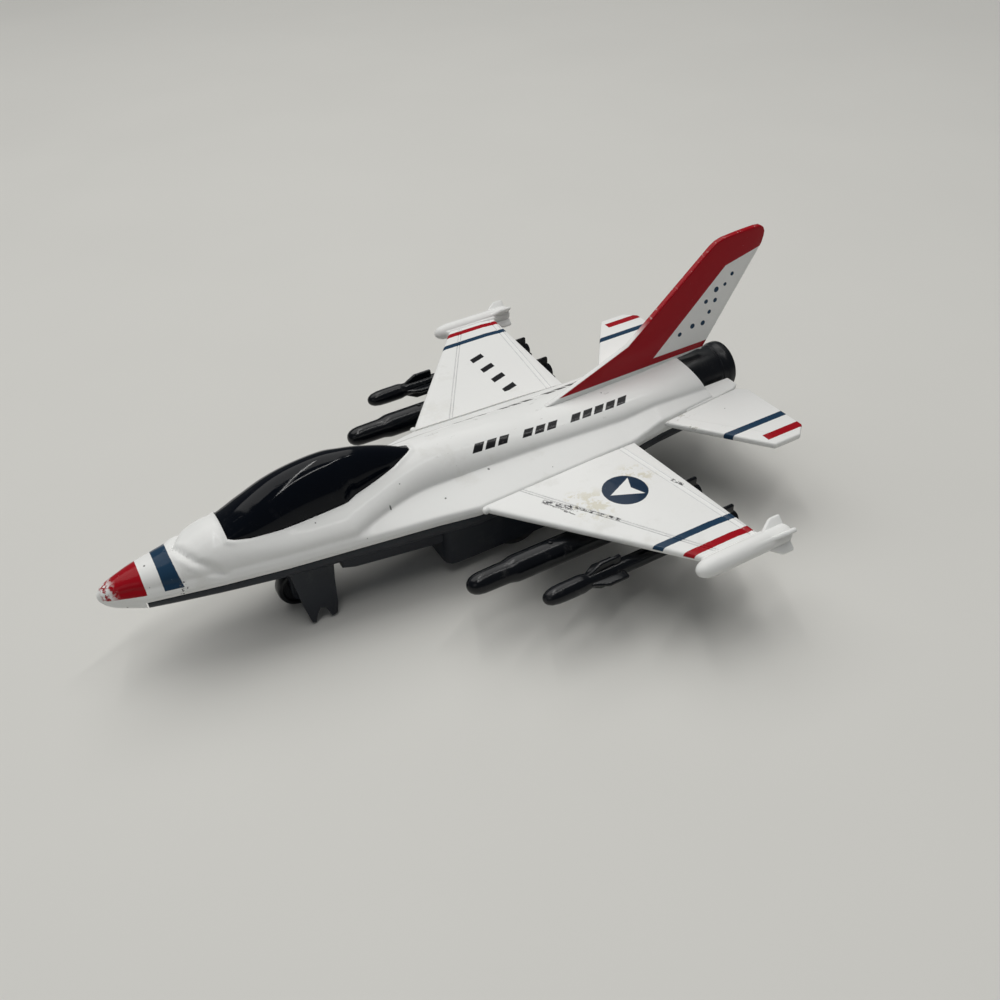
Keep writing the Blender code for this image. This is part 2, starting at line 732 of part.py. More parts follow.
def door_outline(front):
    """Nose gear door: a tapering plate with a notch between two teeth."""
    ground = 0.6 - WING_HEIGHT
    line = [(0.0, SEAM - 1.2), (0.0, -4.5), (1.3, -15.0), (2.4, ground + 0.4), (3.3, ground),
            (3.9, -18.6), (4.9, -16.9), (6.2, -17.6), (7.2, ground), (8.6, ground + 0.3),
            (9.2, -17.0), (9.6, -10.0), (10.2, -4.5), (10.2, SEAM - 1.2)]
    return [(-front - offset, w) for offset, w in line]


def make_chassis(surface):
    """Plastic chassis: belly pan, intake trunk, motor bay, nose gear fork and doors."""
    first, last = sta(0.056) + 0.02 + GAP, sta(0.99)
    chassis = loft("chassis", belly_rings(body_stations(first, last), 0.0))
    bay = bay_stations()
    join(chassis, trunk("trunk", 0.0, [sta(f) for f in (0.326, 0.345, 0.47, 0.69, 0.8)]))
    depth = SEAM - 0.8 - BAY_BOTTOM
    outline = rounded_outline(bay, BAY_HALF_WIDTH, 2.4)
    join(chassis, plate("bay_block", place(0, 0, BAY_BOTTOM + depth / 2), [outline], depth))

    cut(chassis, loft("pan_front", belly_rings(body_stations(sta(0.085), bay[0] - 2.2, 8), WALL)))
    rear_stations = body_stations(bay[1] + 2.2, sta(NOZZLE_START) - 3, 8)
    cut(chassis, loft("pan_rear", belly_rings(rear_stations, WALL + 2)))
    cut(chassis, trunk("trunk_front", BAY_WALL, [sta(0.338), sta(0.345), bay[0] - 2.2]))
    inside = (bay[0] + BAY_WALL, bay[1] - BAY_WALL)
    bay_height = BAY_BOTTOM - SEAM - 4
    opening = plate("bay_opening", place(0, 0, BAY_BOTTOM - 2 - bay_height / 2),
                    [rounded_outline(inside, BAY_HALF_WIDTH - BAY_WALL, 1.4)], -bay_height)
    cut(chassis, opening)
    seat = (bay[0] - 1.2 - GAP, bay[1] + 1.2 + GAP)
    cut(chassis, box("ear_seat", seat, (-3.8, 3.8), (SEAM - 2.0, SEAM + 1)))

    wheel = sta(NOSE_WHEEL_STATION)
    axle_w = NOSE_WHEEL_RADIUS - WING_HEIGHT
    for side in (1, -1):
        y = side * (NOSE_WHEEL_WIDTH / 2 + GAP + FORK_THICKNESS / 2)
        leg = [(2.2, belly(wheel) + 1.6 - axle_w), (-2.2, belly(wheel) + 1.6 - axle_w)]
        leg += [(2.2 * math.cos(math.radians(a)), 2.2 * math.sin(math.radians(a))) for a in range(180, 361, 30)]
        hole = circle_points(NOSE_AXLE_RADIUS + GAP, 16)
        join(chassis, plate(f"fork_{side}", place(wheel, y, axle_w), [leg, hole], FORK_THICKNESS, True))
        door = door_outline(wheel - 3.0)
        join(chassis, plate(f"door_{side}", place(0, side * DOOR_Y, 0), [door], DOOR_THICKNESS, True))
    for number, fraction in enumerate((FRONT_SCREW_STATION, REAR_SCREW_STATION)):
        station = sta(fraction)
        bottom = belly(station) + 0.2
        top = SEAM - GAP
        middle = place(station, 0, (bottom + top) / 2)
        join(chassis, cylinder(f"post_{number}", middle, SCREW_HEAD_RADIUS + 1.4, top - bottom, "Z"))
        cut(chassis, cylinder(f"shank_hole_{number}", middle, SCREW_RADIUS + GAP, 12.0, "Z", 16))
        head = place(station, 0, SEAM - SCREW_SEAT_DEPTH - 5.0)
        cut(chassis, cylinder(f"head_hole_{number}", head, SCREW_HEAD_RADIUS + GAP, 10.0, "Z"))
    cut(chassis, nozzle_bore("chassis_bore", 30.0))
    return finish(chassis, surface)


def make_screws(surface):
    """Pan-head screws that hold the chassis up against the bosses in the body."""
    for end, fraction in (("front", FRONT_SCREW_STATION), ("rear", REAR_SCREW_STATION)):
        name = f"{end}_chassis_screw"
        seat = SEAM - SCREW_SEAT_DEPTH - GAP
        profile = ((0.0, 5.2), (SCREW_RADIUS, 4.6), (SCREW_RADIUS, 0.0), (SCREW_HEAD_RADIUS, 0.0),
                   (SCREW_HEAD_RADIUS, -0.8), (0.6 * SCREW_HEAD_RADIUS, -1.3), (0.0, -1.3))
        screw = turned(name, place(sta(fraction), 0, seat), profile, "Z", 16)
        slot = box(f"{name}_slot", (sta(fraction) - 3, sta(fraction) + 3), (-0.3, 0.3),
                   (seat - 2.0, seat - 0.7))
        cut(screw, slot)
        finish(screw, surface)


def gear_outline(teeth, phase=0.0):
    """Straight-flanked teeth about the origin, with play at the pitch circle."""
    pitch_radius = GEAR_MODULE * teeth / 2
    root, tip = pitch_radius - 1.1 * GEAR_MODULE, pitch_radius + 0.75 * GEAR_MODULE
    points = []
    for tooth in range(teeth):
        middle = 2 * math.pi * (tooth + phase) / teeth
        for radius, width in ((root, -1.15), (tip, -0.5), (tip, 0.5), (root, 1.15)):
            angle = middle + width * GEAR_MODULE / 2 / pitch_radius * 1.15
            points.append((radius * math.cos(angle), radius * math.sin(angle)))
    return points


def train_centres():
    """Station and height of the axle, the idler shaft and the spring arbor."""
    spacing = GEAR_MODULE * (PINION_TEETH + WHEEL_TEETH) / 2 + TOOTH_PLAY
    axle = (sta(REAR_AXLE_STATION), REAR_WHEEL_RADIUS - WING_HEIGHT)
    idler = (axle[0] + spacing * math.cos(math.radians(IDLER_ANGLE)),
             axle[1] + spacing * math.sin(math.radians(IDLER_ANGLE)))
    arbor = (idler[0] + spacing * math.cos(math.radians(ARBOR_ANGLE)),
             idler[1] + spacing * math.sin(math.radians(ARBOR_ANGLE)))
    return axle, idler, arbor


def mesh_phase(teeth, angle, on_tooth):
    """Turn of a gear, in teeth, that puts a tooth or a gap on the line of centres."""
    share = teeth * angle / 360.0
    return share - math.floor(share) + (0.0 if on_tooth else 0.5)


def make_motor(surfaces):
    """Pull-back motor: spring, arbor, two gear stages and the axle pinion in a split case."""
    axle, idler, arbor = train_centres()
    centres = (("axle", axle), ("idler", idler), ("arbor", arbor))
    axis = {name: place(station, 0, w) for name, (station, w) in centres}
    low_plane, high_plane = 2.5, -1.0

    def gear(name, centre, y, teeth, phase, thickness, bore):
        shift = Vector((0, y * MM, 0))
        outline = [gear_outline(teeth, phase), circle_points(bore, 20)]
        return plate(name, centre + shift, outline, thickness, True)

    to_idler, to_arbor = 180.0 - IDLER_ANGLE, 180.0 - ARBOR_ANGLE
    bore = SHAFT_RADIUS + GAP
    phase = mesh_phase(PINION_TEETH, to_idler, True)
    pinion = gear("axle_pinion", axis["axle"], low_plane, PINION_TEETH, phase, GEAR_THICKNESS + 0.8,
                  REAR_AXLE_RADIUS + GAP)
    finish(pinion, surfaces["nylon"])
    phase = mesh_phase(WHEEL_TEETH, to_idler + 180, False)
    large = gear("idler_gear", axis["idler"], low_plane, WHEEL_TEETH, phase, GEAR_THICKNESS, bore)
    phase = mesh_phase(PINION_TEETH, to_arbor, True)
    reach = low_plane - high_plane + GEAR_THICKNESS - 0.2
    middle = (low_plane + high_plane) / 2 - 0.1
    small = gear("idler_pinion", axis["idler"], middle, PINION_TEETH, phase, reach, bore)
    join(large, small)
    finish(large, surfaces["nylon"])
    phase = mesh_phase(WHEEL_TEETH, to_arbor + 180, False)
    spring_gear = gear("spring_gear", axis["arbor"], high_plane, WHEEL_TEETH, phase, GEAR_THICKNESS, bore)
    finish(spring_gear, surfaces["nylon"])

    length = 2 * (CASE_HALF_WIDTH - 0.1)
    finish(cylinder("idler_shaft", axis["idler"], SHAFT_RADIUS, length, "Y", 16), surfaces["steel"])
    finish(cylinder("spring_arbor", axis["arbor"], SHAFT_RADIUS, length, "Y", 16), surfaces["steel"])
    axle_length = 2 * (WHEEL_Y + TYRE_WIDTH / 2 + 0.5)
    finish(cylinder("rear_axle", axis["axle"], REAR_AXLE_RADIUS, axle_length, "Y", 16), surfaces["steel"])

    spring_y = high_plane - GEAR_THICKNESS / 2 - 0.5 - SPRING_WIDTH / 2
    turns = [i / 20 for i in range(20 * SPRING_TURNS + 1)]
    start = SHAFT_RADIUS + GAP
    outside = [(start + SPRING_STRIP + SPRING_PITCH * t, 2 * math.pi * t) for t in turns]
    inside = [(start + SPRING_PITCH * t, 2 * math.pi * t) for t in reversed(turns)]
    strip = [(r * math.cos(a), r * math.sin(a)) for r, a in outside + inside]
    coil = plate("mainspring", axis["arbor"] + Vector((0, spring_y * MM, 0)), [strip], SPRING_WIDTH, True)
    finish(coil, surfaces["steel"])

    reach = GEAR_MODULE * (WHEEL_TEETH / 2 + 0.75) + GAP + CASE_WALL + 0.2
    small_reach = GEAR_MODULE * (PINION_TEETH / 2 + 0.75) + GAP + CASE_WALL + 0.1
    case = ((arbor[0] - reach, arbor[1] + reach), (arbor[0] + 0.55 * reach, arbor[1] + reach),
            (axle[0] + small_reach, idler[1] + 0.3 * reach), (axle[0] + small_reach, axle[1] - small_reach),
            (idler[0] - 0.55 * reach, axle[1] - small_reach), (arbor[0] - reach, idler[1] - 0.35 * reach))
    outline = [(-s, w) for s, w in case]
    centre = (sum(x for x, _ in outline) / len(outline), sum(w for _, w in outline) / len(outline))
    inset = []
    for i, (x, w) in enumerate(outline):
        before, after = outline[i - 1], outline[(i + 1) % len(outline)]
        d0 = Vector((x - before[0], w - before[1])).normalized()
        d1 = Vector((after[0] - x, after[1] - w)).normalized()
        inward = (Vector((-d0.y, d0.x)) + Vector((-d1.y, d1.x))).normalized()
        if inward.dot(Vector((centre[0] - x, centre[1] - w))) < 0:
            inward = -inward
        slope = abs(inward.dot(Vector((-d0.y, d0.x))))
        inset.append((x + inward.x * CASE_WALL / slope, w + inward.y * CASE_WALL / slope))
    for side, name in ((1, "motor_case_left"), (-1, "motor_case_right")):
        thickness = CASE_HALF_WIDTH - GAP / 2
        y = side * (GAP / 2 + thickness / 2)
        half = plate(name, place(0, y, 0), [outline], thickness, True)
        room = thickness - CASE_WALL + 2.0
        cut(half, plate(f"{name}_room", place(0, side * (GAP / 2 - 2.0 + room / 2), 0), [inset], room, True))
        ears = (bay_stations()[0] - 1.2, bay_stations()[1] + 1.2)
        slope = (case[2][0] - case[1][0]) / (case[2][1] - case[1][1])
        edges = (case[0][0] + 0.6, case[1][0] + slope * (SEAM - 0.5 - case[1][1]) - 0.4)
        for number, stations in enumerate(((ears[0], edges[0]), (edges[1], ears[1]))):
            ys = (GAP / 2, 3.5) if side > 0 else (-3.5, -GAP / 2)
            join(half, box(f"{name}_ear_{number}", stations, ys, (SEAM - 1.7, SEAM - 0.5)))
        for key, radius in (("axle", REAR_AXLE_RADIUS), ("idler", SHAFT_RADIUS), ("arbor", SHAFT_RADIUS)):
            cut(half, cylinder(f"{name}_{key}", axis[key], radius + GAP, 20.0, "Y", 20))
        finish(half, surfaces["nylon"])


def make_wheels(surfaces):
    """Nose wheel on its pin, and two driven wheels with rubber tyres on the rear axle."""
    nose_w = NOSE_WHEEL_RADIUS - WING_HEIGHT
    nose = place(sta(NOSE_WHEEL_STATION), 0, nose_w)
    profile = ring_profile(NOSE_AXLE_RADIUS + GAP, NOSE_WHEEL_RADIUS, NOSE_WHEEL_WIDTH / 2, 0.6)
    finish(turned("nose_wheel", nose, profile, "Y", 32), surfaces["black"])
    pin = NOSE_WHEEL_WIDTH / 2 + GAP + FORK_THICKNESS + 0.5
    finish(cylinder("nose_axle", nose, NOSE_AXLE_RADIUS, 2 * pin, "Y", 16), surfaces["steel"])
    rear_w = REAR_WHEEL_RADIUS - WING_HEIGHT
    hub_radius = REAR_WHEEL_RADIUS - TYRE_THICKNESS
    for side, name in ((1, "left"), (-1, "right")):
        centre = place(sta(REAR_AXLE_STATION), side * WHEEL_Y, rear_w)
        hub = ring_profile(REAR_AXLE_RADIUS + GAP, hub_radius - GAP, TYRE_WIDTH / 2 + 0.2, 0.3)
        finish(turned(f"{name}_wheel_hub", centre, hub, "Y", 28), surfaces["black"])
        tyre = ring_profile(hub_radius, REAR_WHEEL_RADIUS, TYRE_WIDTH / 2, 0.5)
        finish(turned(f"{name}_tyre", centre, tyre, "Y", 32), surfaces["rubber"])


def make_store(name, station, y, w, profile, fins, surface):
    """Store under a wing: turned body, crossed fins, a pylon and two pegs into the wing."""
    length = profile[0][1]
    origin = place(station + length, y, w)
    body = turned(name, origin, profile, "X", STORE_STEPS)
    for number, (front, rear, reach, sweep) in enumerate(fins):
        shoulder = length - rear + (rear - front) * (1 - sweep)
        half = [(length - rear, reach), (shoulder, reach), (length - front, 0.8)]
        outline = half + [(x, -r) for x, r in reversed(half)]
        for upright in (False, True):
            join(body, plate(f"{name}_fin_{number}_{upright}", origin, [outline], STORE_FIN_THICKNESS, upright))
    seats = store_seats(abs(y))
    top = -WING_THICKNESS / 2 - GAP
    line = [(seats[0] - 5.0, top), (seats[0] - 3.0, w), (seats[1] + 4.0, w), (seats[1] + 4.0, top)]
    outline = [(-s, height) for s, height in line]
    pylon = plate(f"{name}_pylon", place(0, y, 0), [outline], PYLON_THICKNESS, True)
    join(body, pylon)
    for number, seat in enumerate(seats):
        join(body, cylinder(f"{name}_peg_{number}", place(seat, y, top - 0.4), 0.8, 2.2, "Z", 12))
    return finish(body, surface)


def make_stores(surface):
    inner_length, outer_length = 62.0, 51.0
    inner = ((0.0, inner_length), (1.3, inner_length - 0.4), (2.1, inner_length - 1.4),
             (2.5, inner_length - 3.2),
             (2.6, inner_length - 9.6), (3.1, inner_length - 11.6), (3.1, 12.0), (2.4, 10.0), (2.2, 0.6),
             (1.7, 0.0), (0.0, 0.0))
    outer = ((0.0, outer_length), (1.2, outer_length - 0.5), (1.8, outer_length - 1.8),
             (2.1, outer_length - 4.5),
             (2.1, outer_length - 9.5), (1.8, outer_length - 11.0), (1.8, 0.6), (1.4, 0.0), (0.0, 0.0))
    for side, hand in ((1, "left"), (-1, "right")):
        make_store(f"{hand}_inner_store", sta(INNER_STORE_STATION), side * INNER_STORE_Y, -5.8, inner,
                   ((inner_length - 10.0, inner_length - 0.8, 4.6, 0.6),), surface)
        make_store(f"{hand}_outer_store", sta(OUTER_STORE_STATION), side * OUTER_STORE_Y, -5.0, outer,
                   ((9.3, 19.5, 3.7, 0.55), (outer_length - 8.0, outer_length - 0.8, 4.0, 0.6)), surface)


def main():
    clear_scene()
    surfaces = {
        "white": material("white_enamel", (0.86, 0.85, 0.82), 0.25),
        "dark": material("chassis_plastic", (0.02, 0.024, 0.03), 0.5),
        "black": material("black_plastic", (0.012, 0.014, 0.017), 0.3),
        "canopy": material("canopy_plastic", (0.01, 0.012, 0.015), 0.12),
        "nylon": material("motor_nylon", (0.75, 0.74, 0.68), 0.45),
        "steel": material("steel", (0.6, 0.6, 0.6), 0.3, 1.0),
        "rubber": material("tyre_rubber", (0.02, 0.02, 0.02), 0.8),
    }
    make_shell(surfaces["white"])
    make_canopy(surfaces["canopy"])
    for side in (1, -1):
        make_wing(side, surfaces["white"])
        make_tailplane(side, surfaces["white"])
    make_fin(surfaces["white"])
    make_nozzle(surfaces["black"])
    make_chassis(surfaces["dark"])
    make_screws(surfaces["steel"])
    make_motor(surfaces)
    make_wheels(surfaces)
    make_stores(surfaces["black"])


main()
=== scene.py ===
"""Looks of the pull-back toy jet: enamelled body, wings and fin, black plastic stores, chassis and wheels.

Lengths are in millimetres. A station is a distance behind the nose tip, y runs to the left, and a height w is
counted from the middle of the wings.
"""
import math

import bmesh
import bpy
import numpy as np
from mathutils import Matrix, Vector


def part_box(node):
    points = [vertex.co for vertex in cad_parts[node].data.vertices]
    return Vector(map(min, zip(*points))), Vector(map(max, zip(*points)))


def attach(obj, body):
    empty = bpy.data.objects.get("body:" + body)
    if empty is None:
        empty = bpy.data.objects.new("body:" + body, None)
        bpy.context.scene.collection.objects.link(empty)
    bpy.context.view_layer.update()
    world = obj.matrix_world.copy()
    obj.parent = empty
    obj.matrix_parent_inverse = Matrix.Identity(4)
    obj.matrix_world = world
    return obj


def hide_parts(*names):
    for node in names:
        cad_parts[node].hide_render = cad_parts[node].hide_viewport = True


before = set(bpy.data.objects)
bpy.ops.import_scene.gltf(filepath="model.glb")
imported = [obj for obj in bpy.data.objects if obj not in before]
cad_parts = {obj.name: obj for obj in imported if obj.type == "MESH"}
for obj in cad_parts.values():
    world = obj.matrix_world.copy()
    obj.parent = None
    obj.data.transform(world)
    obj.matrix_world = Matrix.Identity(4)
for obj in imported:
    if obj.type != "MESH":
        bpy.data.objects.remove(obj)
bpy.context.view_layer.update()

bl_info = {
    "name": "Toy jet",
    "version": (1, 0, 0),
    "blender": (4, 5, 0),
    "location": "View3D > Sidebar > Toy jet",
    "description": "Builds the cast toy jet, its finishes and its stage on the packed parts",
    "category": "Object",
}

MM = 0.001
BODY_LENGTH = 153.5
WING_HEIGHT = 21.3
SEAM = -1.5
WALL = 1.4
CAD_GAP = 0.3
ROOT_GAP = 0.08
SEAT_GAP = 0.12
NOSE_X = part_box("fuselage_shell")[1].x / MM
CHIN = 0.056 * BODY_LENGTH

# Wings: each groove pair is a share of the chord and the shifts of its two lines
TIP_Y = 60.5
WING_ROOT = 0.534 * BODY_LENGTH
ROOT_CHORD = 43.2
WING_SWEEP = 0.77
WING_REAR_SWEEP = 0.06
FRONT_GROOVES = (0.235, (0.0, 0.8))
REAR_GROOVES = (0.89, (0.0, 1.3))
TIP_RADIUS = 2.2
TIP_FIN_REACH = 1.9 * TIP_RADIUS

# Tailplanes and fin
TAIL_FRACTION = 0.881
TAIL_CHORD = 24.3
TAIL_SWEEP = 0.72
TAIL_TIP_Y = 36.8
TAIL_TIP_CHORD = 11.0
TAIL_HEIGHT = 1.1
PLATE_THICKNESS = 1.6
FIN_FRACTION = 0.713
FIN_CHORD = 47.6
FIN_REACH = 65.0
FIN_HEIGHT = 38.4

# Exhaust and the shelves beside it
SHELF_FRACTION = 0.93
SHELF_REACH = 7.7
SHELF_TAPER = 5.5
NOZZLE_FRACTION = 0.932
NOZZLE_AXIS = 1.0

# Stores: name, side distance, place of the nose along the body, height of the axis
INNER_STORE = ("inner", 33.3, 0.453, -5.8)
OUTER_STORE = ("outer", 46.0, 0.527, -5.0)
PYLON_THICKNESS = 1.5

# Bands of a wing and a tailplane: the blue one and the red one across, and the ends of the red one
WING_BANDS = ((49.6, 51.4), (54.9, 56.8), (109.0, 128.0))
TAIL_BANDS = ((26.7, 28.6), (32.3, 34.5), (151.0, 164.6))

# Lines of the body along its length, as (fraction of length, millimetres)
EDGE = ((0.003, 1.3), (0.01, 2.1), (0.02, 2.9), (0.04, 4.1), (0.057, 5.2), (0.156, 8.7), (0.248, 11.4),
        (0.355, 13.8), (0.469, 16.4), (0.53, 18.2), (0.822, 16.2), (0.877, 14.7), (1.0, 12.8))
SPINE = ((0.003, 1.9), (0.01, 2.6), (0.02, 3.3), (0.046, 4.5), (0.084, 5.5), (0.122, 6.6), (0.164, 8.5),
         (0.19, 8.4), (0.235, 7.7), (0.29, 7.3), (0.358, 7.7), (0.404, 8.4), (0.443, 9.3), (0.476, 9.9),
         (0.515, 10.0), (0.6, 9.1), (0.713, 7.8), (0.87, 8.0), (1.0, 8.8))
BELLY = ((0.003, -0.9), (0.01, -1.8), (0.02, -2.8), (0.057, -4.4), (0.156, -5.7), (0.25, -6.6), (0.33, -7.2),
         (0.48, -8.0), (0.72, -8.0), (0.88, -7.8), (1.0, -7.6))
CREASE = ((0.28, 17.0), (0.355, 12.6), (0.41, 10.0), (0.463, 8.5), (0.535, 8.4), (0.66, 9.0), (0.76, 9.6),
          (0.87, 10.2), (1.0, 10.4))
LIP = ((0.82, 2.4), (0.88, 3.8))
SEAM_LINE = ((0.0, 0.3), (0.0565, SEAM))

CANOPY_START = 0.184 * BODY_LENGTH
CANOPY_LENGTH = 44.8
CANOPY_FLOOR = 5.0
CANOPY_WIDTH = ((0, 5.2), (0.01, 5.5), (0.1, 6.4), (0.24, 7.0), (0.59, 7.0), (0.65, 5.8), (0.76, 4.7),
                (0.88, 3.5), (0.97, 1.8), (1, 0.9))
CANOPY_TOP = ((0, 8.6), (0.12, 11.5), (0.26, 14.2), (0.39, 15.6), (0.55, 16.1), (0.67, 15.4), (0.76, 14.4),
              (0.88, 12.5), (1, 10.0))
CANOPY_SPRING = ((0, 6.7), (0.15, 6.1), (0.6, 6.4), (0.75, 7.8), (1, 9.0))
# Swept valley behind the nose: side distance and station
COLLAR = ((0.0, 17.0), (1.4, 18.0), (3.6, 19.0), (5.7, 20.6), (7.1, 22.6), (8.5, 25.2))

# Stage: the camera's place, its axes and its lens, and each lamp's place, size in metres, power and colour
CAMERA_PLACE = (6.82, 174.4, 140.18)
CAMERA_RIGHT = (-0.86925963, 0.49146897, -0.05334744)
CAMERA_UP = (-0.34280208, -0.52149858, 0.78136161)
CAMERA_AHEAD = (-0.35619437, -0.69749371, -0.62179425)
CAMERA_LENS = 35.53
LAMPS = (
    ("overhead", (0.02, -0.55, 1.15), (1.6, 1.2), 10.8, (1.0, 0.99, 0.965)),
    ("front_fill", (0.9, 0.75, 0.75), (0.5, 0.5), 0.5, (0.97, 0.985, 1.0)),
    ("tube_one", (0.05, -0.02, 0.9), (0.9, 0.02), 1.5, (1.0, 0.99, 0.97)),
    ("tube_two", (-0.12, 0.22, 0.9), (0.9, 0.02), 1.5, (1.0, 0.99, 0.97)),
)
LAMP_TARGET = (0.0, 0.0, 0.02)
ROOM_COLOUR = (0.93, 0.96, 1.0, 1.0)
ROOM_STRENGTH = 0.13
FLOOR_SIZE = 6.0


def at(keys, value):
    """Straight-line reading of a table of keys."""
    return float(np.interp(value, [k for k, _ in keys], [v for _, v in keys]))


def rounded_at(keys, value):
    """Reading of a table of keys with a smooth curve through them."""
    slopes = []
    for i in range(len(keys)):
        (f0, v0), (f1, v1) = keys[max(i - 1, 0)], keys[min(i + 1, len(keys) - 1)]
        slopes.append((v1 - v0) / (f1 - f0))
    value = min(max(value, keys[0][0]), keys[-1][0])
    i = max(j for j in range(len(keys) - 1) if keys[j][0] <= value)
    (f0, v0), (f1, v1) = keys[i], keys[i + 1]
    span = f1 - f0
    t = (value - f0) / span
    return ((2 * t**3 - 3 * t**2 + 1) * v0 + (t**3 - 2 * t**2 + t) * span * slopes[i]
            + (3 * t**2 - 2 * t**3) * v1 + (t**3 - t**2) * span * slopes[i + 1])


def ease(value, low, high):
    """Nought below low and one above high, with a smooth rise between."""
    t = min(max((value - low) / (high - low), 0.0), 1.0)
    return t * t * (3 - 2 * t)


def spot(station, y, w):
    """World place of a point given by its station, side distance and height, in millimetres."""
    return Vector(((NOSE_X - station) * MM, y * MM, (WING_HEIGHT + w) * MM))


# ---------------------------------------------------------------- modelling helpers

def deselect():
    if bpy.context.object and bpy.context.object.mode != "OBJECT":
        bpy.ops.object.mode_set(mode="OBJECT")
    bpy.ops.object.select_all(action="DESELECT")


def work_on(obj):
    deselect()
    obj.select_set(True)
    bpy.context.view_layer.objects.active = obj
    return obj


def named(name):
    obj = bpy.context.object
    obj.name = name
    obj.data.name = name
    return obj


def settle(obj):
    """Put the object's origin back at the world's, with its place in its mesh."""
    work_on(obj)
    bpy.ops.object.transform_apply(location=True, rotation=True, scale=True)
    return obj


def pick(obj, mode, test):
    """Select in edit mode the vertices, edges or faces that pass a test."""
    work_on(obj)
    bpy.ops.object.mode_set(mode="EDIT")
    bpy.ops.mesh.select_mode(type={"verts": "VERT", "edges": "EDGE", "faces": "FACE"}[mode])
    bpy.ops.mesh.select_all(action="DESELECT")
    bm = bmesh.from_edit_mesh(obj.data)
    for item in getattr(bm, mode):
        if test(item):
            item.select_set(True)
    bm.select_flush_mode()
    bmesh.update_edit_mesh(obj.data)


def pick_all(obj):
    pick(obj, "verts", lambda v: True)


def turn(degrees, axis):
    """Turn what is selected about an axis through the world's origin."""
    bpy.ops.transform.rotate(value=math.radians(degrees), orient_axis=axis, center_override=(0, 0, 0))


def leave(obj):
    bpy.ops.object.mode_set(mode="OBJECT")
    return obj


def outward(obj):
    pick(obj, "faces", lambda f: True)
    bpy.ops.mesh.normals_make_consistent(inside=False)
    return leave(obj)


def smooth(obj, angle=38):
    work_on(obj)
    bpy.ops.object.shade_smooth_by_angle(angle=math.radians(angle))
    return obj


def skin(name, rows, caps=True):
    """Skin through rows of points: a grid is rolled to the rows, its seam merged and its ends filled."""
    deselect()
    across, along = len(rows[0]), len(rows)
    bpy.ops.mesh.primitive_grid_add(x_subdivisions=across, y_subdivisions=along - 1, size=1.0)
    obj = named(name)
    points = np.array([[tuple(row[i % across]) for i in range(across + 1)] for row in rows])
    obj.data.vertices.foreach_set("co", points.reshape(-1))
    obj.data.update()
    pick_all(obj)
    bpy.ops.mesh.remove_doubles(threshold=0.000004)
    bpy.ops.mesh.select_all(action="DESELECT")
    if caps:
        leave(obj)
        pick(obj, "edges", lambda e: e.is_boundary)
        bpy.ops.mesh.edge_face_add()
        bpy.ops.mesh.select_all(action="DESELECT")
        bpy.ops.mesh.select_face_by_sides(number=4, type="GREATER")
        bpy.ops.mesh.quads_convert_to_tris(ngon_method="BEAUTY")
    leave(obj)
    return outward(obj)


def turned(name, origin, profile, axis="X", steps=40):
    """Turned piece from (radius, distance) pairs along an axis that starts at its origin."""
    rows = []
    for radius, along in profile:
        row = []
        for i in range(steps):
            angle = 2 * math.pi * i / steps
            a, b = radius * math.cos(angle), radius * math.sin(angle)
            offset = {"X": (along, a, b), "Y": (b, along, a), "Z": (a, b, along)}[axis]
            row.append(origin + Vector(offset) * MM)
        rows.append(row)
    if profile[0] == profile[-1]:
        return skin(name, rows, caps=False)
    return skin(name, rows)


def slab(name, outline, thickness, place, upright=False, rounding=0.4, segments=3):
    """Plate cut to an outline, extruded to its thickness and rounded along its edges."""
    deselect()
    bpy.ops.mesh.primitive_circle_add(vertices=len(outline), radius=0.01, fill_type="NGON")
    obj = named(name)
    for vert, (a, b) in zip(obj.data.vertices, outline):
        if upright:
            vert.co = place + Vector((-a, -thickness / 2, b)) * MM
        else:
            vert.co = place + Vector((-a, b, -thickness / 2)) * MM
    pick(obj, "faces", lambda f: True)
    shift = (0.0, thickness * MM, 0.0) if upright else (0.0, 0.0, thickness * MM)
    bpy.ops.mesh.extrude_region_move(TRANSFORM_OT_translate={"value": shift})
    leave(obj)
    outward(obj)
    if rounding:
        soften(obj, rounding, segments)
    return obj


def soften(obj, width, segments=3, angle=30):
    """Round the edges that are sharper than an angle."""
    work_on(obj)
    step = obj.modifiers.new("round", "BEVEL")
    step.width = width * MM
    step.segments = segments
    step.limit_method = "ANGLE"
    step.angle_limit = math.radians(angle)
    step.harden_normals = False
    bpy.ops.object.modifier_apply(modifier=step.name)
    return obj


def merge_in(obj, *others, operation="UNION"):
    """Join or cut closed pieces with exact Booleans and drop the tools."""
    for other in others:
        work_on(obj)
        faces = len(obj.data.polygons)
        step = obj.modifiers.new("join", "BOOLEAN")
        step.operation = operation
        step.object = other
        step.solver = "EXACT"
        bpy.ops.object.modifier_apply(modifier=step.name)
        if len(obj.data.polygons) < faces / 2:
            raise RuntimeError(f"{obj.name} was lost when {other.name} met it")
        bpy.data.objects.remove(other, do_unlink=True)
    return obj


def gather(obj, *others):
    """Make one object of a piece and the details that stand on it."""
    deselect()
    for other in others:
        other.select_set(True)
    obj.select_set(True)
    bpy.context.view_layer.objects.active = obj
    bpy.ops.object.join()
    return obj


def copy_of(obj, name):
    """Copy of a finished piece with its own mesh."""
    other = obj.copy()
    other.data = obj.data.copy()
    other.name = other.data.name = name
    bpy.context.scene.collection.objects.link(other)
    return other


def mirrored(obj, name):
    """Copy of a piece on the other side of the centre line."""
    other = copy_of(obj, name)
    work_on(other)
    bpy.ops.object.mode_set(mode="EDIT")
    bpy.ops.mesh.select_all(action="SELECT")
    bpy.ops.transform.mirror(constraint_axis=(False, True, False), orient_type="GLOBAL",
                             center_override=(0.0, 0.0, 0.0))
    bpy.ops.mesh.normals_make_consistent(inside=False)
    return leave(other)


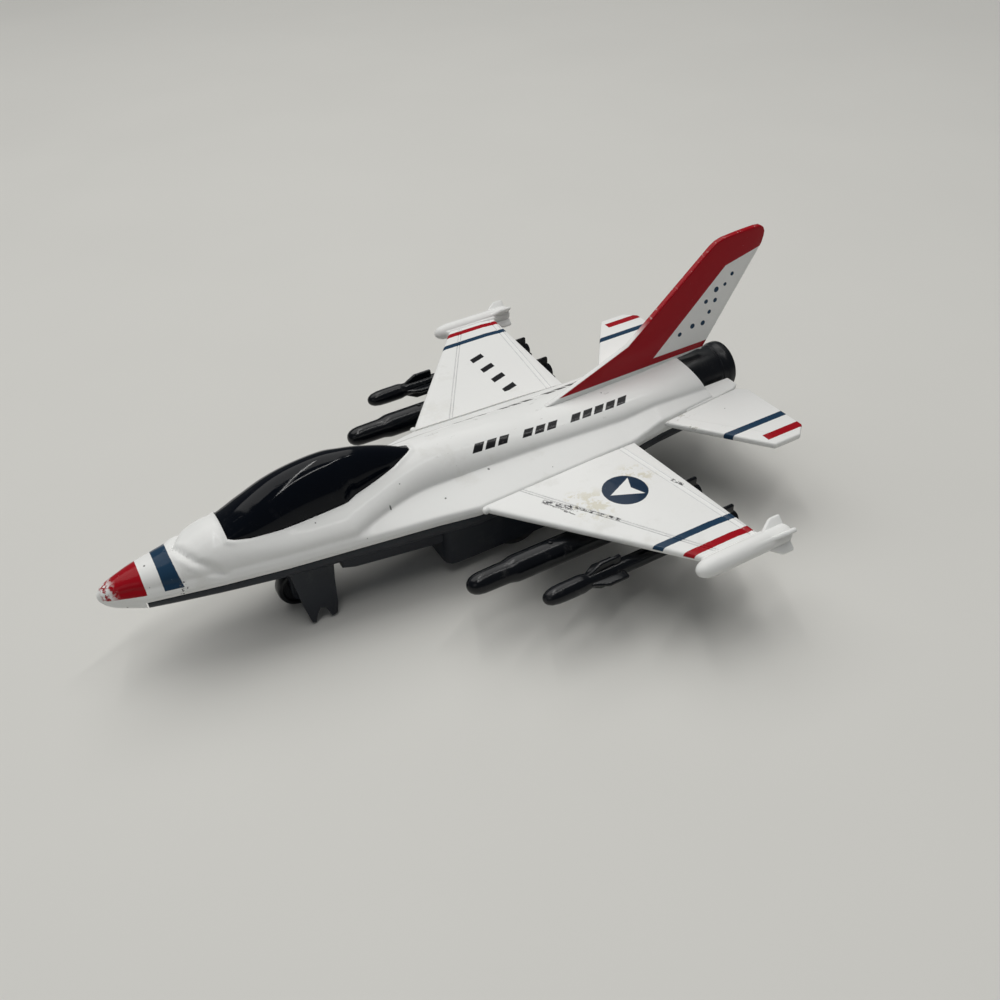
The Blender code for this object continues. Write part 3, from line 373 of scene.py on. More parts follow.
def cad_copy(node, name):
    """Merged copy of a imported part, to be finished further."""
    obj = copy_of(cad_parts[node], name)
    for key in list(obj.keys()):
        del obj[key]
    obj.parent = None
    obj.data.materials.clear()
    pick_all(obj)
    bpy.ops.mesh.remove_doubles(threshold=0.000002)
    bpy.ops.mesh.dissolve_limited(angle_limit=math.radians(0.5))
    return leave(obj)


def finish_piece(obj, finish, body, slot, *nodes):
    """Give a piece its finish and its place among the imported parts."""
    settle(obj)
    obj.data.materials.clear()
    obj.data.materials.append(finish)
    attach(obj, body)
    if nodes:
        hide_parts(*nodes)
    return obj


# ---------------------------------------------------------------- finishes

class Finish:
    """Node tree of one finish, built a step at a time. Distances in it are in millimetres."""

    def __init__(self, name):
        self.material = bpy.data.materials.new(name)
        self.material.use_nodes = True
        self.tree = self.material.node_tree
        self.shader = self.tree.nodes["Principled BSDF"]
        self.place = self.add("ShaderNodeTexCoord").outputs["Object"]
        split = self.add("ShaderNodeSeparateXYZ")
        self.link(self.place, split.inputs[0])
        x, y, z = split.outputs
        self.station = self.calc("SUBTRACT", NOSE_X, self.calc("MULTIPLY", x, 1000.0))
        self.y = self.calc("MULTIPLY", y, 1000.0)
        self.w = self.calc("SUBTRACT", self.calc("MULTIPLY", z, 1000.0), WING_HEIGHT)
        self.heights = []

    def add(self, kind):
        return self.tree.nodes.new(kind)

    def link(self, source, target):
        if hasattr(source, "links"):
            self.tree.links.new(source, target)
        else:
            target.default_value = source

    def calc(self, operation, a, b=0.0, c=None):
        node = self.add("ShaderNodeMath")
        node.operation = operation
        self.link(a, node.inputs[0])
        self.link(b, node.inputs[1])
        if c is not None:
            self.link(c, node.inputs[2])
        return node.outputs[0]

    def chain(self, operation, values):
        result = values[0]
        for value in values[1:]:
            result = self.calc(operation, result, value)
        return result

    def total(self, *values):
        return self.chain("ADD", values)

    def product(self, *values):
        return self.chain("MULTIPLY", values)

    def most(self, *values):
        return self.chain("MAXIMUM", values)

    def step(self, value, edge, soft=0.06):
        """One above an edge and nought below it, with a soft line between."""
        node = self.add("ShaderNodeMapRange")
        node.interpolation_type = "SMOOTHSTEP"
        self.link(value, node.inputs["Value"])
        node.inputs["From Min"].default_value = edge - soft
        node.inputs["From Max"].default_value = edge + soft
        return node.outputs["Result"]

    def inverse(self, value):
        return self.calc("SUBTRACT", 1.0, value)

    def between(self, value, low, high, soft=0.06):
        return self.product(self.step(value, low, soft), self.inverse(self.step(value, high, soft)))

    def noise(self, scale, detail=3.0, roughness=0.55, stretch=(1.0, 1.0, 1.0), offset=(0.0, 0.0, 0.0)):
        """Noise whose scale is in cells per metre."""
        mapping = self.add("ShaderNodeMapping")
        mapping.inputs["Scale"].default_value = stretch
        mapping.inputs["Location"].default_value = offset
        self.link(self.place, mapping.inputs["Vector"])
        node = self.add("ShaderNodeTexNoise")
        node.inputs["Scale"].default_value = scale
        node.inputs["Detail"].default_value = detail
        node.inputs["Roughness"].default_value = roughness
        self.link(mapping.outputs[0], node.inputs["Vector"])
        return node.outputs[0]

    def specks(self, scale, size, offset=(0.0, 0.0, 0.0)):
        """Scattered small round specks."""
        mapping = self.add("ShaderNodeMapping")
        mapping.inputs["Location"].default_value = offset
        self.link(self.place, mapping.inputs["Vector"])
        node = self.add("ShaderNodeTexVoronoi")
        node.inputs["Scale"].default_value = scale
        self.link(mapping.outputs[0], node.inputs["Vector"])
        return self.inverse(self.step(node.outputs["Distance"], size, size * 0.5))

    def reach(self, u, v, start, a, b):
        """Distance of (u, v) from a start along the direction (a, b)."""
        rest = self.calc("MULTIPLY_ADD", v, b, -(a * start[0] + b * start[1]))
        return self.calc("ADD", self.calc("MULTIPLY", u, a), rest)

    def beyond(self, u, v, start, end, soft=0.06):
        """Half-plane to the left of the line from start to end."""
        du, dv = end[0] - start[0], end[1] - start[1]
        length = math.hypot(du, dv)
        return self.step(self.reach(u, v, start, -dv / length, du / length), 0.0, soft)

    def patch(self, u, v, corners, soft=0.06):
        """Convex patch with its corners listed anticlockwise in u and v."""
        pairs = zip(corners[-1:] + corners[:-1], corners)
        return self.product(*[self.beyond(u, v, start, end, soft) for start, end in pairs])

    def disc(self, u, v, centre, radius, soft=0.06):
        du = self.calc("SUBTRACT", u, centre[0])
        dv = self.calc("SUBTRACT", v, centre[1])
        distance = self.calc("SQRT", self.calc("ADD", self.product(du, du), self.product(dv, dv)))
        return self.inverse(self.step(distance, radius, soft))

    def line(self, u, v, start, end, half_width, soft=0.05):
        """Thin line between two points."""
        du, dv = end[0] - start[0], end[1] - start[1]
        length = math.hypot(du, dv)
        across = self.calc("ABSOLUTE", self.reach(u, v, start, -dv / length, du / length))
        along = self.reach(u, v, start, du / length, dv / length)
        return self.product(self.inverse(self.step(across, half_width, soft)),
                            self.between(along, 0.0, length, soft))

    def mix(self, amount, below, above):
        """Colour over a colour by an amount."""
        node = self.add("ShaderNodeMix")
        node.data_type = "RGBA"
        self.link(amount, node.inputs[0])
        for value, socket in ((below, node.inputs[6]), (above, node.inputs[7])):
            if hasattr(value, "links"):
                self.link(value, socket)
            else:
                socket.default_value = (*value[:3], 1.0)
        return node.outputs[2]

    def relief(self, height, depth):
        """Height of a detail in millimetres at full value."""
        self.heights.append(self.calc("MULTIPLY", height, depth))

    def close(self, colour, roughness, **values):
        self.link(colour, self.shader.inputs["Base Color"])
        self.link(roughness, self.shader.inputs["Roughness"])
        if self.heights:
            bump = self.add("ShaderNodeBump")
            bump.inputs["Distance"].default_value = MM
            bump.inputs["Strength"].default_value = 1.0
            self.link(self.total(*self.heights), bump.inputs["Height"])
            self.link(bump.outputs[0], self.shader.inputs["Normal"])
        for key, value in values.items():
            self.shader.inputs[key.replace("_", " ").title().replace("Ior", "IOR")].default_value = value
        return self.material


def enamel(name, colours, markings):
    """Glossy sprayed enamel on cast metal, with printed markings, painted shade in the wing grooves, and the
    grime and chips of play.
    """
    f = Finish(name)
    wobble = f.calc("MULTIPLY_ADD", f.noise(900.0, 2.0), 0.16, -0.08)
    f.s = f.calc("ADD", f.station, wobble)
    f.side = f.calc("ADD", f.y, wobble)
    f.up = f.calc("ADD", f.w, wobble)
    cloud = f.noise(45.0, 2.0)
    white = f.mix(f.calc("MULTIPLY", cloud, 0.5), colours.white, [c * 0.95 for c in colours.white])
    patches = f.noise(38.0, 2.0, offset=(0.31, 0.12, 0.2))
    grime = f.step(f.product(f.noise(160.0, 5.0, 0.65), patches), 0.37, 0.06)
    colour = f.mix(f.calc("MULTIPLY", grime, 0.16), white, (0.42, 0.40, 0.33))
    wear = f.step(f.noise(1100.0, 4.0, 0.7, offset=(0.2, 0.0, 0.1)), 0.70, 0.03)
    colour, ink = markings(f, colour, colours)
    specks = f.most(f.specks(150.0, 0.022), f.specks(95.0, 0.016, (0.013, 0.021, 0.007)))
    colour = f.mix(f.calc("MULTIPLY", specks, 0.8), colour, (0.03, 0.028, 0.025))
    f.relief(f.noise(260.0, 2.0), 0.05)
    f.relief(f.noise(1500.0, 2.0), 0.006)
    f.relief(specks, -0.03)
    f.relief(ink, 0.008)
    roughness = f.total(0.1, f.calc("MULTIPLY", f.noise(300.0, 4.0), 0.08), f.calc("MULTIPLY", grime, 0.2),
                        f.calc("MULTIPLY", wear, 0.1))
    return f.close(colour, roughness, specular_ior_level=0.14)


def paint(f, colour, mask, ink_colour, strength=0.997):
    """Lay one ink over the colour, with slight wear in it."""
    chips = f.step(f.noise(1400.0, 5.0, 0.75, offset=(0.4, 0.3, 0.2)), 0.715, 0.02)
    amount = f.product(mask, f.inverse(f.calc("MULTIPLY", chips, 0.9)))
    return f.mix(f.calc("MULTIPLY", amount, strength), colour, ink_colour), mask


def body_markings(f, colour, colours):
    """Red nose, blue band, a row of slanted dashes along each side and a few scuffs."""
    red_end, blue_start = 9.4, 12.9
    dash_start, half_pitch = 91.85, 1.65
    dash_groups = ((91.85, 101.75), (105.05, 114.95), (118.25, 134.75))
    dots = ((10.9, 1.1, 0.22), (63.4, 9.9, 0.2), (75.8, 12.4, 0.22), (88.7, 9.4, 0.25), (46.5, 8.4, 0.15))
    above = f.step(f.up, 0.5)
    inks = []
    red = f.product(f.inverse(f.step(f.s, red_end)), f.step(f.s, 1.0, 0.4), above)
    scuff = f.product(f.step(f.noise(800.0, 4.0, 0.7), 0.50, 0.04), f.inverse(f.step(f.s, 3.4, 1.2)))
    red = f.product(red, f.inverse(scuff))
    colour, mask = paint(f, colour, red, colours.red)
    inks.append(mask)
    low_end = f.calc("MULTIPLY_ADD", f.up, -0.12, 16.9)
    beyond_band = f.step(f.calc("SUBTRACT", f.s, low_end), 0.0)
    blue = f.product(f.step(f.s, blue_start), f.inverse(beyond_band), above)
    colour, mask = paint(f, colour, blue, colours.blue)
    inks.append(mask)
    across = f.calc("SUBTRACT", f.calc("ABSOLUTE", f.y), f.calc("MULTIPLY_ADD", f.s, 0.022, -1.9))
    lean = f.calc("MULTIPLY_ADD", across, 0.9, f.s)
    period = f.calc("PINGPONG", f.calc("SUBTRACT", lean, dash_start), half_pitch)
    groups = f.most(*[f.between(lean, *group) for group in dash_groups])
    bars = f.product(f.step(period, 0.4, 0.07), groups, f.between(across, 5.0, 6.8), f.step(f.w, 3.0))
    colour, mask = paint(f, colour, bars, colours.ink)
    inks.append(mask)
    marks = f.most(*[f.disc(f.s, f.side, (s, y), r, 0.08) for s, y, r in dots])
    colour = f.mix(f.calc("MULTIPLY", marks, 0.85), colour, (0.02, 0.02, 0.02))
    pits = f.product(f.disc(f.s, f.side, (16.6, 7.0), 0.9, 0.3), f.step(f.noise(1800.0, 2.0), 0.58, 0.04))
    colour = f.mix(pits, colour, (0.12, 0.12, 0.12))
    rubs = f.product(f.step(f.noise(700.0, 4.0, 0.75, stretch=(0.35, 1.0, 1.0)), 0.66, 0.02),
                     f.between(f.s, 78.0, 128.0, 3.0), f.step(f.up, 5.2, 0.5))
    colour = f.mix(f.calc("MULTIPLY", rubs, 0.35), colour, (0.25, 0.22, 0.21))
    return colour, f.most(*inks)


def groove_painted_shade(f, colour):
    """Painted shade in the grooves: grey lines along the two groove pairs of a wing, which run from root to
    tip.
    """
    y = f.calc("ABSOLUTE", f.y)
    lines = []
    for chord, shifts in (FRONT_GROOVES, REAR_GROOVES):
        root = WING_ROOT + chord * ROOT_CHORD
        tip = wing_front(TIP_Y) + chord * (wing_rear(TIP_Y) - wing_front(TIP_Y))
        for shift in shifts:
            start = (root + shift, root_line(root))
            lines.append(f.line(f.station, y, start, (tip + shift, TIP_Y), 0.1, 0.1))
    # Painted shade: grey along the groove lines, patchy with noise, on the top face only and stopping short
    # of the tip
    painted_groove_lines = f.product(f.most(*lines), f.step(f.w, 0.2), f.inverse(f.step(y, TIP_Y - 3.0)),
                     f.calc("MULTIPLY_ADD", f.noise(300.0, 3.0), 0.7, 0.1))
    return f.mix(painted_groove_lines, colour, (0.30, 0.31, 0.33))


def wing_bands(f, colour, colours, blue_y, red_y, ends):
    """The two bands across a wing or tailplane, with white margins at the ends of the red one."""
    y = f.calc("ABSOLUTE", f.side)
    top = f.step(f.w, 0.0, 0.1)
    blue = f.product(f.between(y, *blue_y), top)
    red = f.product(f.between(y, *red_y), f.between(f.s, *ends), top)
    colour, mask_blue = paint(f, colour, blue, colours.blue)
    colour, mask_red = paint(f, colour, red, colours.red)
    return colour, f.most(mask_blue, mask_red)


def left_wing_markings(f, colour, colours):
    """Bands, a plain navy disc with a white delta, stains and the scuffs along the front edge."""
    # Painted shade along the flap grooves
    colour = groove_painted_shade(f, colour)
    stains = (((103.0, 31.0), 5.0, 2.5), ((117.5, 27.5), 4.2, 2.0), ((100.5, 27.5), 2.6, 1.2))
    scuffs = (((94.4, 24.0), (99.5, 30.8), 0.7, 0.3), ((98.6, 28.5), (105.5, 39.0), 0.45, 0.2),
              ((123.6, 33.0), (124.6, 36.0), 0.5, 0.2))
    stain = f.product(f.step(f.noise(420.0, 5.0, 0.7), 0.54, 0.05),
                      f.most(*[f.disc(f.s, f.side, *place) for place in stains]), f.step(f.w, 0.2))
    colour = f.mix(f.calc("MULTIPLY", stain, 0.42), colour, (0.52, 0.46, 0.26))
    colour, ink = wing_bands(f, colour, colours, *WING_BANDS)
    disc = f.product(f.disc(f.s, f.side, (112.3, 30.6), 5.3), f.step(f.w, 0.2))
    colour, mask = paint(f, colour, disc, colours.navy)
    delta = f.most(f.patch(f.s, f.side, [(108.3, 30.6), (115.4, 27.2), (113.9, 30.6)]),
                   f.patch(f.s, f.side, [(108.3, 30.5), (113.9, 30.5), (115.4, 34.0)]))
    colour = f.mix(f.product(delta, mask), colour, colours.white)
    scuff = f.product(f.step(f.noise(900.0, 5.0, 0.75, stretch=(1.0, 1.0, 0.3)), 0.50, 0.03),
                      f.most(*[f.line(f.s, f.side, *place) for place in scuffs]))
    colour = f.mix(f.calc("MULTIPLY", scuff, 0.9), colour, (0.03, 0.03, 0.035))
    ragged = f.calc("ADD", f.station, f.calc("MULTIPLY_ADD", f.noise(900.0, 4.0), 2.4, -1.2))
    hairline = f.product(f.line(ragged, f.y, (95.0, 25.6), (98.0, 32.0), 0.13, 0.06), f.step(f.w, 0.2))
    colour = f.mix(f.calc("MULTIPLY", hairline, 0.8), colour, (0.05, 0.05, 0.05))
    return colour, f.most(ink, mask)


def right_wing_markings(f, colour, colours):
    """Bands and four plain slanted dashes."""
    # Painted shade along the flap grooves
    colour = groove_painted_shade(f, colour)
    colour, ink = wing_bands(f, colour, colours, *WING_BANDS)
    lean = f.calc("ADD", f.side, f.calc("MULTIPLY", f.s, 0.35))
    period = f.calc("PINGPONG", f.calc("ADD", lean, 22.0), 3.0)
    dashes = f.product(f.step(period, 1.95, 0.08), f.between(f.s, 110.2, 114.4),
                       f.between(f.side, -44.5, -21.0), f.step(f.w, 0.2))
    colour, mask = paint(f, colour, dashes, colours.ink)
    return colour, f.most(ink, mask)


def tail_markings(f, colour, colours):
    """Bands, one fine groove and the rubs near the root."""
    colour, ink = wing_bands(f, colour, colours, *TAIL_BANDS)
    f.relief(f.line(f.s, f.side, (140.5, 16.5), (156.0, 36.0), 0.1, 0.08), -0.05)
    rubs = f.product(f.step(f.noise(500.0, 4.0, 0.7, stretch=(0.5, 1.0, 1.0)), 0.6, 0.03),
                     f.between(f.side, 14.0, 24.0, 2.0), f.between(f.s, 136.0, 146.0, 2.0))
    colour = f.mix(f.calc("MULTIPLY", rubs, 0.55), colour, (0.32, 0.29, 0.22))
    return colour, ink


def fin_markings(f, colour, colours):
    """Red front and cap, a white field behind it, and small round dots."""
    face = f.step(f.calc("ABSOLUTE", f.y), 0.62, 0.08)
    base = f.beyond(f.s, f.w, (109.0, 9.0), (160.0, 9.4))
    field = f.patch(f.s, f.w, [(141.6, 11.0), (175.0, 11.0), (176.5, 33.6), (162.6, 30.4)])
    red = f.product(base, f.inverse(field), face)
    cap = f.product(f.step(f.w, 33.4), f.step(f.s, 158.0, 2.0))
    edges = f.product(f.step(f.w, 20.0, 2.0), f.inverse(field), base)
    colour, mask = paint(f, colour, f.most(red, edges, cap), colours.red)
    places = ((165.0, 27.6, 0.55), (163.0, 25.3, 0.5), (160.3, 24.6, 0.75), (157.3, 22.1, 0.6),
              (160.2, 21.7, 0.62), (158.6, 18.9, 0.58), (156.8, 16.3, 0.7), (153.5, 16.4, 0.7),
              (149.6, 15.2, 0.6))
    dots = f.most(*[f.disc(f.s, f.w, (s, w), radius) for s, w, radius in places])
    colour, dot_mask = paint(f, colour, f.product(dots, face), colours.blue)
    edge = f.product(f.step(f.noise(900.0, 4.0, 0.7, stretch=(1.0, 0.4, 1.0)), 0.62, 0.03), f.inverse(face))
    colour = f.mix(f.calc("MULTIPLY", edge, 0.5), colour, (0.75, 0.72, 0.70))
    return colour, f.most(mask, dot_mask)


def plastic(name, base, roughness, scratch=0.25, grain=0.02, ripple=0.04, shine=0.3, dust=0.25):
    """Moulded plastic with a fine grain, long scratches and patches of dust."""
    f = Finish(name)
    cloud = f.noise(70.0, 3.0)
    colour = f.mix(f.calc("MULTIPLY", cloud, 0.6), base, [min(c * 1.5 + 0.0005, 1.0) for c in base])
    dusty = f.step(f.noise(330.0, 6.0, 0.7), 0.60, 0.06)
    colour = f.mix(f.calc("MULTIPLY", dusty, dust * 0.12), colour, (0.35, 0.34, 0.32))
    scratches = f.step(f.noise(420.0, 4.0, 0.65, stretch=(0.12, 1.0, 1.0)), 0.67, 0.02)
    f.relief(f.noise(3600.0, 2.0), grain)
    f.relief(f.noise(300.0, 2.0), ripple)
    f.relief(scratches, -0.01)
    rough = f.total(roughness, f.calc("MULTIPLY_ADD", f.noise(500.0, 4.0), 0.14, -0.07),
                    f.calc("MULTIPLY", scratches, scratch * 0.4), f.calc("MULTIPLY", dusty, dust * 0.3))
    return f.close(colour, rough, specular_ior_level=shine)


def rubber(name, base):
    """Tyre rubber, chalky where it rolls."""
    f = Finish(name)
    scuffed = f.step(f.noise(600.0, 5.0, 0.7), 0.52, 0.08)
    colour = f.mix(f.calc("MULTIPLY", scuffed, 0.3), base, (0.10, 0.098, 0.092))
    f.relief(f.noise(2600.0, 3.0), 0.03)
    f.relief(scuffed, -0.01)
    return f.close(colour, f.total(0.62, f.calc("MULTIPLY", scuffed, 0.2)))


def metal(name, base, roughness, streak):
    """Drawn or turned steel with fine lines along one direction."""
    f = Finish(name)
    lines = f.noise(900.0, 4.0, 0.6, stretch=streak)
    spots = f.step(f.noise(700.0, 5.0, 0.7), 0.64, 0.04)
    colour = f.mix(f.calc("MULTIPLY", lines, 0.5), base, [c * 0.7 for c in base])
    colour = f.mix(f.calc("MULTIPLY", spots, 0.35), colour, (0.12, 0.08, 0.05))
    f.relief(lines, 0.01)
    rough = f.total(roughness, f.calc("MULTIPLY", lines, 0.15), f.calc("MULTIPLY", spots, 0.25))
    return f.close(colour, rough, metallic=1.0)


def floor_finish(name, base):
    """Matt pale card with a slight mottle."""
    f = Finish(name)
    colour = f.mix(f.step(f.noise(9.0, 3.0), 0.5, 0.3), base, [c * 0.975 for c in base])
    f.relief(f.noise(500.0, 3.0), 0.01)
    rough = f.total(0.55, f.calc("MULTIPLY", f.noise(20.0, 2.0), 0.1))
    return f.close(colour, rough, specular_ior_level=0.25)


# ---------------------------------------------------------------- sizes and colours

class ToyJetSizes(bpy.types.PropertyGroup):
    collar_depth: bpy.props.FloatProperty(
        name="Collar depth",
        description="Depth of the two swept valleys behind the nose, in millimetres",
        default=0.55, min=0.0, max=1.5)
    cockpit_rim: bpy.props.FloatProperty(
        name="Cockpit rim",
        description="Height of the raised rim around the canopy, in millimetres",
        default=0.35, min=0.0, max=1.0)
    edge_rounding: bpy.props.FloatProperty(
        name="Edge rounding",
        description="Rounding of the cast edges, in millimetres",
        default=0.5, min=0.1, max=0.75)
    groove_depth: bpy.props.FloatProperty(
        name="Groove depth",
        description="Depth of the flap grooves, in millimetres",
        default=0.12, min=0.02, max=0.16)
    blade_count: bpy.props.IntProperty(
        name="Turbine blades",
        description="Number of blades in the exhaust",
        default=18, min=6, max=36)
    tread_count: bpy.props.IntProperty(
        name="Tread blocks",
        description="Number of grooves across each rear tyre",
        default=28, min=8, max=60)


class ToyJetColours(bpy.types.PropertyGroup):
    white: bpy.props.FloatVectorProperty(
        name="White enamel",
        description="Colour of the cast parts",
        subtype="COLOR", default=(0.83, 0.835, 0.82), min=0.0, max=1.0)
    red: bpy.props.FloatVectorProperty(
        name="Red ink",
        description="Colour of the nose, bands and fin",
        subtype="COLOR", default=(0.33, 0.003, 0.010), min=0.0, max=1.0)
    blue: bpy.props.FloatVectorProperty(
        name="Blue ink",
        description="Colour of the bands",
        subtype="COLOR", default=(0.013, 0.042, 0.085), min=0.0, max=1.0)
    navy: bpy.props.FloatVectorProperty(
        name="Navy ink",
        description="Colour of the wing disc",
        subtype="COLOR", default=(0.007, 0.024, 0.055), min=0.0, max=1.0)
    ink: bpy.props.FloatVectorProperty(
        name="Dark ink",
        description="Colour of the dashes",
        subtype="COLOR", default=(0.012, 0.012, 0.014), min=0.0, max=1.0)
    black: bpy.props.FloatVectorProperty(
        name="Black plastic",
        description="Colour of stores, wheels and exhaust",
        subtype="COLOR", default=(0.0016, 0.0024, 0.004), min=0.0, max=1.0)
    chassis: bpy.props.FloatVectorProperty(
        name="Chassis plastic",
        description="Colour of the lower body",
        subtype="COLOR", default=(0.008, 0.011, 0.017), min=0.0, max=1.0)
    floor: bpy.props.FloatVectorProperty(
        name="Floor",
        description="Colour of the floor",
        subtype="COLOR", default=(0.66, 0.655, 0.625), min=0.0, max=1.0)


def sizes():
    return bpy.context.scene.toy_jet_sizes


def colours():
    return bpy.context.scene.toy_jet_colours


def finish_named(name):
    """Finish by its name, made when it is first asked for."""
    if name in bpy.data.materials:
        return bpy.data.materials[name]
    c = colours()
    canopy = (0.0012, 0.0022, 0.0045)
    makers = {
        "body_enamel": lambda: enamel(name, c, body_markings),
        "left_wing_enamel": lambda: enamel(name, c, left_wing_markings),
        "right_wing_enamel": lambda: enamel(name, c, right_wing_markings),
        "tail_enamel": lambda: enamel(name, c, tail_markings),
        "fin_gloss_enamel": lambda: enamel(name, c, fin_markings),
        "gloss_black": lambda: plastic(name, c.black, 0.2, grain=0.004, ripple=0.06),
        "canopy_gloss": lambda: plastic(name, canopy, 0.09, 0.1, 0.0, 0.012, shine=0.17, dust=0.08),
        "satin_chassis": lambda: plastic(name, c.chassis, 0.36, grain=0.012),
        "wheel_black": lambda: plastic(name, c.black, 0.3, grain=0.01),
        "exhaust_black": lambda: plastic(name, (0.003, 0.004, 0.006), 0.32, grain=0.01),
        "motor_nylon_finish": lambda: plastic(name, (0.62, 0.60, 0.52), 0.42, grain=0.01, dust=0.6),
        "case_nylon": lambda: plastic(name, (0.03, 0.032, 0.036), 0.45, grain=0.015, dust=0.6),
        "tyre_rubber_finish": lambda: rubber(name, (0.018, 0.018, 0.019)),
        "turned_steel": lambda: metal(name, (0.55, 0.55, 0.54), 0.28, (1.0, 0.15, 1.0)),
        "spring_steel_finish": lambda: metal(name, (0.42, 0.44, 0.48), 0.3, (1.0, 0.05, 1.0)),
        "pale_floor": lambda: floor_finish(name, c.floor),
    }
    return makers[name]()


# ---------------------------------------------------------------- cast body

def section(station, count):
    """Rounded upper section of the body, from the seam to the top centre."""
    f = station / BODY_LENGTH
    low, top, edge = at(SEAM_LINE, f), rounded_at(SPINE, f), at(EDGE, f)
    size = min(1.0, (top - low) / 6.0)
    lip = low + at(LIP, f) * size
    crease = min(edge - 0.9 * size, rounded_at(CREASE, f))
    rise = min(1.0, (edge - crease) / 8.0)
    shoulder = (crease, min(lip + 0.6 * size + 2.1 * rise, lip + 0.45 * (top - lip)))
    line = [(edge - 0.3 * size, low), (edge, low + 1.1 * size), (edge - 0.4 * size, lip), shoulder]
    for i in range(1, 25):
        angle = math.pi / 2 * i / 24
        line.append((shoulder[0] * math.cos(angle), shoulder[1] + (top - shoulder[1]) * math.sin(angle)))
    line = np.array(line + [(-y, w) for y, w in reversed(line[:-1])])
    lengths = np.concatenate(([0.0], np.cumsum(np.hypot(*np.diff(line, axis=0).T))))
    fine = np.linspace(0.0, lengths[-1], 801)
    dense = np.stack([np.interp(fine, lengths, line[:, k]) for k in (0, 1)], axis=1)
    reach = max(2, int(round(0.55 * size / (fine[1] - fine[0]))))
    window = np.hanning(2 * reach + 1)
    window /= window.sum()
    padded = np.pad(dense, ((reach, reach), (0, 0)), mode="reflect", reflect_type="odd")
    dense = np.stack([np.convolve(padded[:, k], window, mode="valid") for k in (0, 1)], axis=1)
    picked = np.linspace(0, 400, count)
    result = np.stack([np.interp(picked, np.arange(401), dense[:401, k]) for k in (0, 1)], axis=1)
    result[-1] = (0.0, dense[400, 1])
    return result


def relief_at(station, y, w):
    """Outward rise of the casting's small forms at a place, in millimetres."""
    side = abs(y)
    d = station - at(COLLAR, side)
    fade = ease(w, 0.2, 1.8) * ease(36.0 - station, 0.0, 8.0)
    valley = -sizes().collar_depth * math.exp(-(d / 0.7) ** 2)
    rise = valley + 0.2 * math.exp(-((d + 1.7) / 0.6) ** 2)
    rise += 0.3 * ease(d, 0.3, 1.8) * ease(29.0 - station, 0.0, 5.0)
    result = rise * fade
    t = (station - CANOPY_START) / CANOPY_LENGTH
    if -0.08 < t < 1.1:
        gap = side - at(CANOPY_WIDTH, min(max(t, 0.0), 1.0))
        ends = 0.0
        if t < 0:
            ends = -t * CANOPY_LENGTH
        if t > 1:
            ends = (t - 1) * CANOPY_LENGTH
        distance = math.hypot(max(gap, 0.0), ends)
        rim = math.exp(-((distance - 0.45) / 0.55) ** 2)
        ends_only = 0.25 + 0.9 * ease(t, 0.75, 0.95) + 0.9 * ease(0.05 - t, 0.0, 0.06)
        result += sizes().cockpit_rim * rim * ends_only
    return result


def body_row(station, full, lower_count=12, upper_count=56):
    """Ring of the body at a station, with its belly where it is full and cut at the seam where it isn't."""
    f = station / BODY_LENGTH
    upper = section(station, upper_count)
    normal = np.gradient(upper, axis=0)
    normal = np.stack([normal[:, 1], -normal[:, 0]], axis=1)
    normal /= np.maximum(np.linalg.norm(normal, axis=1, keepdims=True), 1e-9)
    if normal[:, 1].sum() < 0:
        normal = -normal
    for i in range(1, upper_count):
        upper[i] += normal[i] * relief_at(station, *upper[i])
    upper[-1, 0] = 0.0
    edge, low = upper[0]
    bottom = rounded_at(BELLY, f) if full else low
    half = []
    for i in range(lower_count):
        angle = math.pi / 2 * i / lower_count
        half.append((edge * math.sin(angle) ** 0.72, low + (bottom - low) * math.cos(angle) ** 0.72))
    half += [tuple(p) for p in upper]
    loop = half + [(-y, w) for y, w in reversed(half[1:-1])]
    blunt = math.sqrt(1.0 - (1.0 - min(station / 1.1, 1.0)) ** 2)
    loop = [(y * blunt, 0.5 + (w - 0.5) * blunt) for y, w in loop]
    rake_start = 0.92 * BODY_LENGTH
    rake = 0.45 * max(0.0, (station - rake_start) / (BODY_LENGTH - rake_start))
    return [spot(station - rake * (w - SEAM), y, w) for y, w in loop]


def body_stations():
    """Stations of the body's rings, closer at the nose, the collar and the canopy's end."""
    stations = list(np.concatenate((0.02 * (np.arange(1, 15) ** 2), np.arange(4.4, 8.6, 0.6))))
    stations += list(np.arange(9.2, 34.0, 0.5)) + list(np.arange(34.0, 68.0, 1.0))
    stations += list(np.arange(68.0, 78.0, 0.5)) + list(np.arange(78.0, BODY_LENGTH, 1.2)) + [BODY_LENGTH]
    return stations


